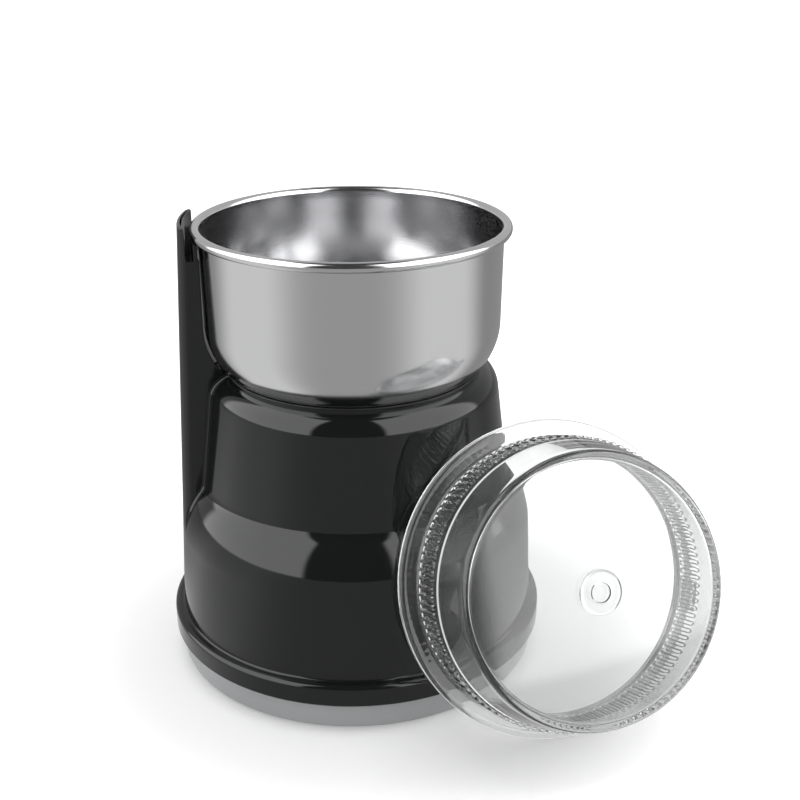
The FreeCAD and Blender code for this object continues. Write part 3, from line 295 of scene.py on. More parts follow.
@dataclass
class Shell:
    """A mesh in the making: points in millimetres, and faces of three or four corners."""

    points: np.ndarray
    faces: list[np.ndarray] = field(default_factory=list)

    def joined(self, *others: Shell) -> Shell:
        """Put other shells beside this one in the same mesh.

        Args:
            others: the shells to add.

        Returns:
            A shell with the points and faces of all.
        """
        points, faces = self.points, list(self.faces)
        for other in others:
            faces += [part + len(points) for part in other.faces]
            points = np.vstack([points, other.points])
        return Shell(points, faces)

    def mesh_object(self, name: str, sharp: float = SHARP_ANGLE) -> bpy.types.Object:
        """Make the Blender object, with outward faces and smooth shading up to an angle.

        Args:
            name: the piece's name.
            sharp: angle in radians above which an edge stays sharp.

        Returns:
            The object, at the origin, with its mesh in metres.
        """
        mesh = bpy.data.meshes.new(name)
        corners = np.concatenate([faces.ravel() for faces in self.faces])
        totals = np.concatenate([np.full(len(faces), faces.shape[1]) for faces in self.faces])
        starts = np.concatenate([[0], np.cumsum(totals)[:-1]])
        mesh.vertices.add(len(self.points))
        mesh.vertices.foreach_set("co", (self.points * MM).astype(np.float32).ravel())
        mesh.loops.add(len(corners))
        mesh.loops.foreach_set("vertex_index", corners.astype(np.int32))
        mesh.polygons.add(len(totals))
        mesh.polygons.foreach_set("loop_start", starts.astype(np.int32))
        mesh.update(calc_edges=True)
        mesh.validate()
        work = bmesh.new()
        work.from_mesh(mesh)
        bmesh.ops.remove_doubles(work, verts=work.verts, dist=1e-7)
        bmesh.ops.recalc_face_normals(work, faces=work.faces)
        work.to_mesh(mesh)
        work.free()
        mesh.polygons.foreach_set("use_smooth", np.ones(len(mesh.polygons), bool))
        mesh.set_sharp_from_angle(angle=sharp)
        piece = bpy.data.objects.new(name, mesh)
        bpy.context.scene.collection.objects.link(piece)
        return piece


def grid_faces(rows: int, columns: int, close_rows: bool, close_columns: bool) -> np.ndarray:
    """Four-cornered faces of a grid of points stored row by row.

    Args:
        rows: number of rows.
        columns: number of points in each row.
        close_rows: whether the last row joins the first.
        close_columns: whether each row is a closed ring.

    Returns:
        An array of four point numbers for each face.
    """
    row = np.arange(rows if close_rows else rows - 1)[:, None]
    column = np.arange(columns if close_columns else columns - 1)[None, :]
    next_row = (row + 1) % rows
    next_column = (column + 1) % columns
    around = ((row, column), (row, next_column), (next_row, next_column), (next_row, column))
    corners = [at * columns + place for at, place in around]
    return np.stack([np.broadcast_to(c, (row.size, column.size)).ravel() for c in corners], 1)


def bend(
    centre: tuple[float, float], radius: float, start: float, end: float, count: int = 12
) -> np.ndarray:
    """Points on an arc: the centre plus the radius times cosine and sine of the angle.

    Args:
        centre: the arc's centre, as radius and height.
        radius: the arc's radius.
        start: first angle in degrees, from +r towards +z.
        end: last angle in degrees.
        count: number of points.

    Returns:
        The points, one row each.
    """
    angle = np.radians(np.linspace(start, end, count))
    return np.stack([centre[0] + radius * np.cos(angle), centre[1] + radius * np.sin(angle)], 1)


def run(*parts: np.ndarray | tuple[float, float]) -> np.ndarray:
    """Chain single points and rows of points into one profile.

    Args:
        parts: points, or arrays of points, in order.

    Returns:
        All of them in one array.
    """
    return np.vstack([np.atleast_2d(np.asarray(part, float)) for part in parts])


def refined(profile: np.ndarray, step: float, closed: bool) -> np.ndarray:
    """Split a profile's long edges so that no edge is longer than a step.

    Args:
        profile: the points.
        step: longest edge that may stay.
        closed: whether the last point joins the first.

    Returns:
        The profile with evenly spaced points added on its long edges.
    """
    ends = np.vstack([profile[1:], profile[:1]]) if closed else profile[1:]
    starts = profile if closed else profile[:-1]
    counts = np.maximum(np.ceil(np.linalg.norm(ends - starts, axis=1) / step).astype(int), 1)
    place = np.repeat(np.arange(len(starts)), counts)
    share = np.arange(counts.sum()) - np.repeat(np.cumsum(counts) - counts, counts)
    share = share / counts[place]
    points = starts[place] + (ends - starts)[place] * share[:, None]
    return points if closed else np.vstack([points, profile[-1:]])


def turned(profile: np.ndarray, segments: int, closed: bool) -> Shell:
    """Turn a profile about the Z axis.

    Each point of the grid is (r cos a, r sin a, z) for the profile's r and z and the angle a.

    Args:
        profile: radius and height of each point. An open one starts and ends on the axis.
        segments: number of steps round the axis.
        closed: whether the profile is a loop that stays off the axis.

    Returns:
        A closed shell.
    """
    angle = np.linspace(0, 2 * np.pi, segments, endpoint=False)
    radius = np.maximum(profile[:, 0], 0.0)[:, None]
    height = np.broadcast_to(profile[:, 1:2], (len(profile), segments))
    points = np.stack([radius * np.cos(angle), radius * np.sin(angle), height], 2).reshape(-1, 3)
    return Shell(points, [grid_faces(len(profile), segments, closed, True)])


def lofted(rings: np.ndarray) -> Shell:
    """Skin a stack of closed rings and cap both ends.

    The point of row i and column j is the j-th point of the i-th ring. Each cap is a fan
    from the middle of its ring.

    Args:
        rings: array of rings by points by three coordinates.

    Returns:
        A closed shell.
    """
    rows, columns, _ = rings.shape
    points = np.vstack([rings.reshape(-1, 3), rings[0].mean(0), rings[-1].mean(0)])
    column = np.arange(columns)
    following = (column + 1) % columns
    low = np.stack([following, column, np.full(columns, rows * columns)], 1)
    top = (rows - 1) * columns
    high = np.stack([column + top, following + top, np.full(columns, rows * columns + 1)], 1)
    return Shell(points, [grid_faces(rows, columns, False, True), low, high])


def placed(shell: Shell, rotation: np.ndarray, shift: np.ndarray) -> Shell:
    """Turn and shift a shell's points.

    Args:
        shell: the shell.
        rotation: three by three matrix.
        shift: where the shell's own origin goes.

    Returns:
        The shell in its place.
    """
    return Shell(shell.points @ rotation.T + shift, shell.faces)


def spun(angle: float) -> np.ndarray:
    """Rotation matrix about Z for an angle in radians."""
    return np.array(
        [[math.cos(angle), -math.sin(angle), 0], [math.sin(angle), math.cos(angle), 0], [0, 0, 1]]
    )


def dress(
    piece: bpy.types.Object, body: str, slot: str, surface: Surfaces, *nodes: str
) -> None:
    """Give a piece its finish and its body, and hide the nodes that it stands for.

    Args:
        piece: the object.
        body: name of the body that carries it.
        slot: the record's material slot, not used.
        surface: the finish.
        nodes: CAD nodes that the piece replaces.
    """
    piece.data.materials.clear()
    piece.data.materials.append(surface.value.build())
    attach(piece, body)
    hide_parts(*nodes)
    LOG.info("%s: %d faces on body %s", piece.name, len(piece.data.polygons), body)


@dataclass
class Housing:
    """Black housing with its column, the silver ring below it and the seat ring on top."""

    wall: float = 2.2
    flange_radius: float = 57.0
    flange_low: float = 9.0
    flange_shoulder: float = 14.3
    flange_edge: float = 1.5
    flange_bevel: float = 0.6
    ledge: float = 0.9
    ledge_bend: float = 0.7
    drum_radius: float = 54.2
    drum_low: float = 15.8
    drum_top: float = 40.8
    draft: float = 0.042
    shoulder_radius: float = 22.8
    shoulder_sweep: float = 45.0
    waist_blend: float = 6.0
    cone_height: float = 27.9
    cone_draft: float = 0.12
    lip_edge: float = 7.5
    seat_outer: float = 37.6
    seat_inner: float = 35.2
    seat_rebate: float = 1.9
    well_radius: float = 34.6
    well_depth: float = 8.8
    bore: float = 9.5
    well_root: float = 3.3
    inner_line: tuple[tuple[float, float], ...] = (
        *((40.6, 82.6), (43.8, 58.0), (46.0, 54.4), (49.6, 49.0), (51.0, 41.0)),
    )
    inner_foot: float = 52.2
    ring_inner: float = 52.3
    ring_outer: float = 54.7
    ring_low: float = 0.8
    ring_edge: float = 0.8
    pad_outer_gap: float = 0.1
    pad_inner_gap: float = 0.6
    pad_dish: float = 19.4
    pad_rim: float = 0.25
    pad_bevel: float = 0.3
    column_half: float = 15.0
    column_top: float = 135.5
    column_corner: float = 3.5
    column_inner_corner: float = 0.5
    column_levels: int = 40
    corner_points: int = 9
    face_points: int = 22
    sunk: float = 1.5
    lip_step: float = 0.05
    overlap: float = 0.02
    slot_inner: float = 45.6
    slot_outer: float = 47.7
    slot_floor: float = 126.0
    prong_edge: float = 0.55
    prong_root: float = 4.0
    prong_inner_corner: float = 0.25
    cradle_top: float = 130.6
    cradle_corner: float = 0.3
    cradle_edge: tuple[float, float] = (0.4, 0.12)
    bowl_clear: float = 44.4
    bowl_flat: float = 24.0
    bowl_bend_height: float = 105.6
    bowl_corner_clear: float = 20.0
    seam_radius: float = 0.9
    seam_start: float = 2.5
    seam_growth: float = 6.0
    seam_least: float = 0.05
    seam_root: float = -0.25
    segments: int = 288

    def column_face(self, height: np.ndarray | float) -> np.ndarray | float:
        """Radius of the outer face that drum and column share, at a height."""
        return self.drum_radius - self.draft * (height - self.drum_low)

    def outer_profile(self) -> np.ndarray:
        """Outside of the housing from its foot over the lip, as arcs joined by straight runs.

        Returns:
            Radius and height of each point.
        """
        drum = self.column_face(self.drum_top)
        centre = np.array([drum - self.shoulder_radius, self.drum_top])
        sweep = math.radians(self.shoulder_sweep)
        waist = centre + self.shoulder_radius * np.array([np.cos(sweep), np.sin(sweep)])
        slant = math.hypot(1, self.cone_draft)
        across = np.array([1, self.cone_draft]) / slant
        along = np.array([-self.cone_draft, 1]) / slant
        reach = self.shoulder_radius + self.waist_blend
        start = waist + across * self.waist_blend - centre
        climb = start @ along
        rise = -climb + math.sqrt(climb * climb - start @ start + reach * reach)
        blend_centre = start + along * rise
        low_angle = math.degrees(math.atan2(blend_centre[1], blend_centre[0]))
        high_angle = math.degrees(math.atan2(-across[1], -across[0]))
        blend_at = blend_centre + centre
        cone_top = waist + np.array([-self.cone_draft, 1]) * self.cone_height
        lip_at = cone_top - across * self.lip_edge
        lip_start = math.degrees(math.atan2(across[1], across[0]))
        lip_end = math.degrees(math.acos((self.seat_outer - lip_at[0]) / self.lip_edge))
        edge = self.flange_edge
        bevel = self.flange_bevel
        nook = self.ledge_bend
        return run(
            (self.flange_radius - bevel, self.flange_low),
            (self.flange_radius, self.flange_low + bevel),
            bend((self.flange_radius - edge, self.flange_shoulder), edge, 0, 90, 12),
            (self.drum_radius + self.ledge, self.drum_low),
            bend((self.drum_radius + nook, self.drum_low + nook), nook, 270, 180, 7),
            bend(centre, self.shoulder_radius, 0, low_angle, 28),
            bend(blend_at, self.waist_blend, low_angle + 180, high_angle + 360, 14),
            cone_top,
            bend(lip_at, self.lip_edge, lip_start, lip_end, 20),
        )

    def seat_height(self) -> float:
        """Height of the lip, where the seat's rebate starts."""
        return float(self.outer_profile()[-1, 1])

    def shell_profile(self) -> np.ndarray:
        """Closed section of the housing's wall: the outside, the bowl's well and the inside.

        Returns:
            Radius and height of each point of the loop.
        """
        rebate = self.seat_height() - self.seat_rebate
        floor = rebate - self.well_depth
        roof = floor - self.wall
        throat = self.well_radius + self.wall
        return run(
            self.outer_profile(),
            (self.seat_outer, rebate),
            (self.seat_inner, rebate),
            (self.well_radius, floor),
            (self.bore, floor),
            (self.bore, roof),
            (throat, roof),
            (throat, rebate - self.well_root),
            self.inner_line,
            (self.inner_foot, self.flange_low),
        )

    def column_ring(
        self, height: float, inner: float, outer: float, corner: float, small: float
    ) -> np.ndarray:
        """One section of the column: a sector whose outer corners are rounded.

        Along each corner the radius falls by corner times (1 - sin f) and the edge comes in
        by corner times (1 - cos f), for f from 0 at the side to 90 degrees at the face. Where
        the sector is thinner than the corner, f starts at the angle whose sine is one less
        the thickness over the corner, so that the inner face cuts the corner off.

        Args:
            height: the section's height.
            inner: radius of its inner face.
            outer: radius of its outer face.
            corner: radius of the two outer corners.
            small: radius of the two inner corners.

        Returns:
            The ring's points.
        """
        cut = max(1 - (outer - inner - small) / corner, 0.0)
        count = self.corner_points
        turn = np.radians(np.linspace(math.degrees(math.asin(cut)), 90, count))
        outer_r = outer - corner * (1 - np.sin(turn))
        outer_a = math.radians(self.column_half) - corner * (1 - np.cos(turn)) / outer
        turn = np.radians(np.linspace(0, 90, count))
        inner_r = inner + small * (1 - np.sin(turn))
        inner_a = outer_a[0] - small * (1 - np.cos(turn)) / inner
        between = np.linspace(1, -1, self.face_points + 2)[1:-1]
        face = outer_a[-1] * between
        back = -inner_a[-1] * between
        flat = np.ones(self.face_points)
        radius = np.concatenate(
            [outer_r, outer * flat, outer_r[::-1], inner_r, inner * flat, inner_r[::-1]]
        )
        angle = np.concatenate([outer_a, face, -outer_a[::-1], -inner_a, back, inner_a[::-1]])
        x, y = radius * np.cos(np.pi + angle), radius * np.sin(np.pi + angle)
        return np.stack([x, y, np.full(len(radius), height)], 1)

    def cradle_radius(self, height: np.ndarray) -> np.ndarray:
        """Inner face of the column, which keeps clear of the bowl's round corner.

        Below the lip it is hidden in the housing, a little inside its skin.

        Args:
            height: heights of the sections.

        Returns:
            The inner radius at each height.
        """
        outside = self.outer_profile()
        skin = np.interp(height, outside[:, 1], outside[:, 0]) - self.sunk
        drop = np.clip(self.bowl_bend_height - height, 0, self.bowl_corner_clear)
        clear = self.bowl_flat + np.sqrt(self.bowl_corner_clear**2 - drop**2)
        clear = np.clip(clear, self.seat_outer, self.bowl_clear)
        return np.where(height < self.seat_height(), skin, clear)

    def column_shell(self) -> Shell:
        """Column from the shoulder to its prong, with the slot for the lid's tongue.

        Returns:
            The column's main part, its outer prong and its inner cradle wall.
        """
        lip = self.seat_height()
        above, count = lip + self.lip_step, self.column_levels
        heights = np.concatenate(
            [np.linspace(self.drum_top, lip, count), np.linspace(above, self.slot_floor, count)]
        )
        main = [
            (height, inner, outer, self.column_corner, self.column_inner_corner)
            for height, inner, outer in zip(
                heights, self.cradle_radius(heights), self.column_face(heights)
            )
        ]
        foot = self.slot_floor - self.overlap
        edge = self.prong_edge
        turn = np.radians(np.linspace(0, 90, 6))
        rounded = [self.column_top - edge + edge * np.sin(turn), edge * (1 - np.cos(turn))]
        levels = run((foot, 0.0), (self.slot_floor + self.prong_root, 0.0), np.stack(rounded, 1))
        start, corner, small = self.slot_outer, self.column_corner, self.prong_inner_corner
        prong = [
            (height, start + inset, self.column_face(height) - inset, corner - inset, small)
            for height, inset in levels
        ]
        top = self.cradle_top
        deep, shallow = self.cradle_edge
        corners = (self.cradle_corner, self.cradle_corner)
        cradle = [
            (height, self.bowl_clear + inset, self.slot_inner - inset, *corners)
            for height, inset in run(
                (foot, 0.0), (top - deep, 0.0), (top - shallow, shallow), (top, deep)
            )
        ]
        parts = [
            lofted(np.stack([self.column_ring(*level) for level in levels]))
            for levels in (main, prong, cradle)
        ]
        return parts[0].joined(*parts[1:])

    def seam_fillet(self, side: float) -> Shell:
        """Hollow fillet where the column's side meets the shoulder, cone and lip.

        Its section is a quarter circle, hollow outwards, carried along the housing's profile
        in the plane of the column's side. The profile's own normal and the direction away
        from the column span the section.

        Args:
            side: 1 for the side towards +Y, -1 for the other.

        Returns:
            The closed strip.
        """
        outside = self.outer_profile()
        start = np.argmax(outside[:, 1] > self.drum_top + self.seam_start)
        path = refined(outside[start:], 1.0, False)
        tangent = np.gradient(path, axis=0)
        tangent /= np.linalg.norm(tangent, axis=1)[:, None]
        normal = np.stack([tangent[:, 1], -tangent[:, 0]], 1)
        grown = (path[:, 1:] - path[0, 1]) / self.seam_growth
        grow = np.clip(grown, self.seam_least, 1.0) * self.seam_radius
        turn = np.radians(np.linspace(0, 90, 8))
        out = np.append(1 - np.sin(turn), self.seam_root)
        away = np.append(1 - np.cos(turn), self.seam_root)
        radius = path[:, :1] + normal[:, :1] * grow * out
        height = path[:, 1:] + normal[:, 1:] * grow * out
        half = math.radians(self.column_half)
        around = np.pi - side * (half + grow * away / radius)
        return lofted(np.stack([radius * np.cos(around), radius * np.sin(around), height], 2))

    def dress_housing(self) -> None:
        """Build the housing and dress it in black ABS."""
        shell = turned(refined(self.shell_profile(), LONGEST_EDGE, True), self.segments, True)
        shell = shell.joined(self.column_shell(), self.seam_fillet(1), self.seam_fillet(-1))
        piece = shell.mesh_object("housing_moulding")
        dress(piece, "housing", "housing_black", Surfaces.GLOSS_BLACK_ABS, "body_shell")

    def dress_base_ring(self) -> None:
        """Build the silver ring under the flange, with a rounded lower edge."""
        edge = self.ring_edge
        profile = run(
            (self.ring_inner, self.ring_low),
            bend((self.ring_outer - edge, self.ring_low + edge), edge, 270, 360, 7),
            (self.ring_outer, self.flange_low),
            (self.ring_inner, self.flange_low),
        )
        shell = turned(refined(profile, LONGEST_EDGE, True), self.segments, True)
        piece = shell.mesh_object("silver_base_ring")
        dress(piece, "housing", "base_silver", Surfaces.SILVER_SPRAYED_ABS, "base_ring")

    def dress_seat_ring(self) -> None:
        """Build the rubber ring whose dished top follows the bowl's corner."""
        floor = self.seat_height() - self.seat_rebate
        outer = self.seat_outer - self.pad_outer_gap
        inner = self.seat_inner + self.pad_inner_gap
        low = math.degrees(math.asin((outer - self.pad_rim - self.bowl_flat) / self.pad_dish))
        high = math.degrees(math.asin((inner - self.bowl_flat) / self.pad_dish))
        centre = (self.bowl_flat, self.bowl_bend_height)
        top = bend(centre, self.pad_dish, low - 90, high - 90, 8)
        profile = run((inner, floor), (outer, floor), (outer, top[0, 1] - self.pad_bevel), top)
        piece = turned(profile, self.segments, True).mesh_object("rubber_seat_ring")
        dress(piece, "housing", "rubber_black", Surfaces.NITRILE_RUBBER, "seat_ring")

    def build(self) -> None:
        """Build every piece of the housing."""
        self.dress_housing()
        self.dress_base_ring()
        self.dress_seat_ring()


@dataclass
class Bowl:
    """Lift-out steel bowl with a rolled rim."""

    radius: float = 43.2
    flare: float = 0.4
    corner: float = 19.2
    thickness: float = 0.7
    floor: float = 86.4
    depth: float = 46.4
    roll_radius: float = 1.5
    roll_under: float = 0.82
    roll_root: float = 0.8
    hub_radius: float = 5.0
    segments: int = 320

    def profile(self) -> np.ndarray:
        """Closed section of the sheet: outside, round the roll, and back down inside.

        Returns:
            Radius and height of each point.
        """
        flat = self.radius - self.corner
        bend_height = self.floor + self.corner
        roll_height = self.floor + self.depth
        mouth = self.radius + self.flare
        centre = (mouth - self.thickness + self.roll_radius, roll_height)
        under = math.degrees(math.asin(-self.roll_under))
        return run(
            (self.hub_radius, self.floor),
            bend((flat, bend_height), self.corner, 270, 360, 30),
            (self.radius + self.flare * 0.5, (bend_height + roll_height) / 2),
            (mouth, roll_height - self.roll_radius * self.roll_root),
            bend(centre, self.roll_radius, 180 - under - 360, 180, 30)[3:],
            (self.radius - self.thickness, bend_height),
            bend((flat, bend_height), self.corner - self.thickness, 360, 270, 28),
            (self.hub_radius, self.floor + self.thickness),
        )

    def build(self) -> None:
        """Build the bowl and dress it in steel."""
        shell = turned(refined(self.profile(), LONGEST_EDGE, True), self.segments, True)
        piece = shell.mesh_object("steel_bowl")
        dress(piece, "bowl", "bowl_steel", Surfaces.BUFFED_STEEL, "bowl_shell")


@dataclass
class Lid:
    """Clear lid with a flange, a band of grip ribs, a domed top and a tongue."""

    radius: float = 44.8
    wall: float = 2.0
    flange: float = 2.6
    bevel: float = 1.2
    mouth_bevel: float = 0.3
    grip_radius: float = 39.6
    grip_low: float = 4.4
    grip_height: float = 11.0
    top_radius: float = 36.8
    depth: float = 31.0
    dome: float = 2.0
    edge: float = 1.6
    inner_edge: float = 1.2
    inner_step: tuple[float, float] = (0.6, 0.5)
    boss_radius: float = 5.6
    boss_height: float = 0.7
    longest_edge: float = 2.2
    ribs: int = 112
    rib_height: float = 0.75
    rib_fade: float = 0.4
    rib_steepness: float = 0.8
    steps_per_rib: int = 6
    tongue_width: float = 9.0
    tongue_root: float = 0.8
    tongue_corner: float = 0.6
    tongue_bevel: float = 0.5
    tongue_sunk: float = 0.4
    tongue_drop: float = 4.6
    tongue_angle: float = 75.0
    tongue_reach: float = 47.3
    rest: tuple[float, float] = (53.4, -44.3)
    tilt: float = 22.0
    turn: float = -75.5

    def frame(self) -> tuple[np.ndarray, np.ndarray]:
        """Rotation and place of the lid: pitched until its flange stands, then turned.

        Returns:
            The rotation matrix and the place of the middle of its mouth.
        """
        pitch = math.radians(90 - self.tilt)
        along, across = math.cos(pitch), math.sin(pitch)
        lean = np.array([[along, 0, across], [0, 1, 0], [-across, 0, along]])
        lift = self.radius * math.cos(math.radians(self.tilt))
        return spun(math.radians(self.turn)) @ lean, np.array([*self.rest, lift])

    def outside(self) -> np.ndarray:
        """Outer line from the mouth to the middle of the dome, with the centre boss.

        Returns:
            Radius and height of each point.
        """
        grip_high = self.grip_low + self.grip_height
        dome_base = self.top_radius - self.edge
        share = np.linspace(1, 0, 16)
        dome = np.stack([dome_base * share, self.depth + self.dome * (1 - share**2)], 1)
        boss = self.boss_radius
        dome = dome[dome[:, 0] > boss + 1.0]
        crown = self.depth + self.dome
        lift = crown + self.boss_height
        bevel = self.bevel
        grip = self.grip_radius
        return run(
            (self.radius, self.mouth_bevel),
            (self.radius, self.flange - bevel),
            bend((self.radius - bevel, self.flange - bevel), bevel, 0, 90, 7),
            (grip + bevel, self.flange),
            bend((grip + bevel, self.flange + bevel), bevel, 270, 180, 6),
            (grip, self.grip_low),
            (grip, self.grip_low + self.rib_fade),
            (grip, grip_high - self.rib_fade),
            (grip, grip_high),
            (self.top_radius, self.depth - self.edge),
            bend((dome_base, self.depth - self.edge), self.edge, 5, 90, 8),
            dome[1:],
            (boss + 0.4, crown - 0.08),
            (boss, lift - 0.2),
            (boss - 0.3, lift),
            (boss * 0.55, lift),
            (boss * 0.48, lift - 0.25),
            (boss * 0.46, crown - 0.1),
            (0.0, crown),
        )

    def inside(self) -> np.ndarray:
        """Inner line from the middle of the dome back to the mouth, with a low step.

        Returns:
            Radius and height of each point.
        """
        edge = self.inner_edge
        flat = self.top_radius - self.wall - edge
        roof = self.depth - self.wall
        share = np.linspace(0, 1, 14)
        dome = np.stack([flat * share, roof + self.dome * (1 - share**2)], 1)
        grip = self.grip_radius - self.wall
        step_in, step_up = self.inner_step
        high = self.grip_low + self.grip_height
        return run(
            dome,
            bend((flat, roof - edge), edge, 90, 8, 6),
            (grip - step_in, high + step_up),
            (grip, high),
            (grip, self.flange - self.bevel * 0.5),
            (self.radius - self.wall, self.flange - self.bevel),
            (self.radius - self.wall, 0.0),
            (self.radius - self.mouth_bevel, 0.0),
        )

    def shell(self) -> Shell:
        """Turn the section and raise the ribs on the grip band.

        The radius of the band grows by the rib height times a smooth hump that repeats with
        each rib, and fades in and out over a short run at the band's two ends.

        Returns:
            The closed lid in its own frame.
        """
        profile = refined(run(self.inside(), self.outside()), self.longest_edge, False)
        body = turned(profile, self.ribs * self.steps_per_rib, False)
        radius = np.hypot(body.points[:, 0], body.points[:, 1])
        angle = np.arctan2(body.points[:, 1], body.points[:, 0])
        height = body.points[:, 2]
        outer = np.abs(radius - self.grip_radius) < 0.05
        into = np.minimum(height - self.grip_low, self.grip_low + self.grip_height - height)
        fade = np.clip(into / self.rib_fade, 0, 1)
        hump = np.clip(0.5 + self.rib_steepness * np.cos(angle * self.ribs), 0, 1)
        scale = 1 + np.where(outer, fade * hump * self.rib_height, 0) / np.maximum(radius, 1)
        body.points[:, :2] *= scale[:, None]
        return body

    def tongue(self) -> Shell:
        """Tab at the flange's edge that presses the interlock: a block with rounded sides.

        Returns:
            The closed tab in the lid's frame.
        """
        near = self.radius - self.tongue_root
        corner = self.tongue_corner
        turn = np.radians(np.linspace(0, 90, 5))
        sections = (
            (self.flange - self.tongue_sunk, self.tongue_bevel),
            (self.flange - self.tongue_sunk - self.tongue_bevel, 0.0),
            (0.0, 0.0),
            (corner - self.tongue_drop, 0.0),
            (-self.tongue_drop, corner),
        )
        rings = []
        for level, pull in sections:
            half = self.tongue_width / 2 - pull
            across = self.tongue_reach - pull - corner * (1 - np.cos(turn))
            right = np.stack([across, half - corner * (1 - np.sin(turn))], 1)
            left = np.stack([right[::-1, 0], -right[::-1, 1]], 1)
            outline = run((near, half), right[::-1], left[::-1], (near, -half))
            rings.append(np.column_stack([outline, np.full(len(outline), level)]))
        spin = spun(math.radians(self.tongue_angle))
        return placed(lofted(np.stack(rings)), spin, np.zeros(3))

    def build(self) -> None:
        """Build the lid where it leans and dress it in clear plastic."""
        whole = placed(self.shell().joined(self.tongue()), *self.frame())
        piece = whole.mesh_object("clear_lid", LID_SHARP_ANGLE)
        dress(piece, "lid", "lid_clear", Surfaces.CLEAR_SAN, "lid_shell")


@dataclass
class Workings:
    """The pieces whose CAD shape is right and which only get their finish."""

    finishes: dict[Surfaces, tuple[str, ...]] = field(
        default_factory=lambda: {
            Surfaces.GRAINED_BLACK_ABS: (
                *("bottom_cover", "cord_inlet", "bowl_foot", "switch_bracket"),
                *("board_posts", "drive_coupling", "bowl_coupling", "push_rod"),
            ),
            Surfaces.NITRILE_RUBBER: ("rubber_feet", "rubber_mounts", "shaft_seal"),
            Surfaces.ZINC_STEEL: ("base_screws", "motor_bolts", "mount_screws", "return_spring"),
            Surfaces.GROUND_STEEL: (
                *("blade", "blade_nut", "blade_shaft", "blade_washer", "bowl_bush"),
            ),
            Surfaces.LAMINATION_STEEL: ("stator_core", "armature_core"),
            Surfaces.ENAMELLED_COPPER: ("stator_windings", "armature_windings", "commutator"),
            Surfaces.CAST_ALUMINIUM: ("upper_bracket", "lower_bracket", "brush_holders"),
            Surfaces.BEARING_STEEL: ("upper_bearing", "lower_bearing", "motor_shaft"),
            Surfaces.NATURAL_NYLON: ("cooling_fan", "switch_plunger"),
            Surfaces.CARBON_GRAPHITE: ("carbon_brushes",),
            Surfaces.BOARD_RESIST: ("circuit_board",),
            Surfaces.MOULDED_EPOXY: ("capacitor", "rectifier", "micro_switch"),
        }
    )
    spring_top: tuple[float, float, float] = (-46.2, 7.0, 47.38)
    spring_keep: float = 0.742

    def build(self, frame: dict[str, object]) -> None:
        """Put each finish on its nodes, and give the spring a mesh of its own.
        """
        for surface, names in self.finishes.items():
            for name in names:
                node = frame["nodes"][name]
                node.data.materials.clear()
                node.data.materials.append(surface.value.build())
                LOG.info("%s: %s", name, surface.value.name)
        spring = frame["nodes"]["return_spring"]
        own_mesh(spring)


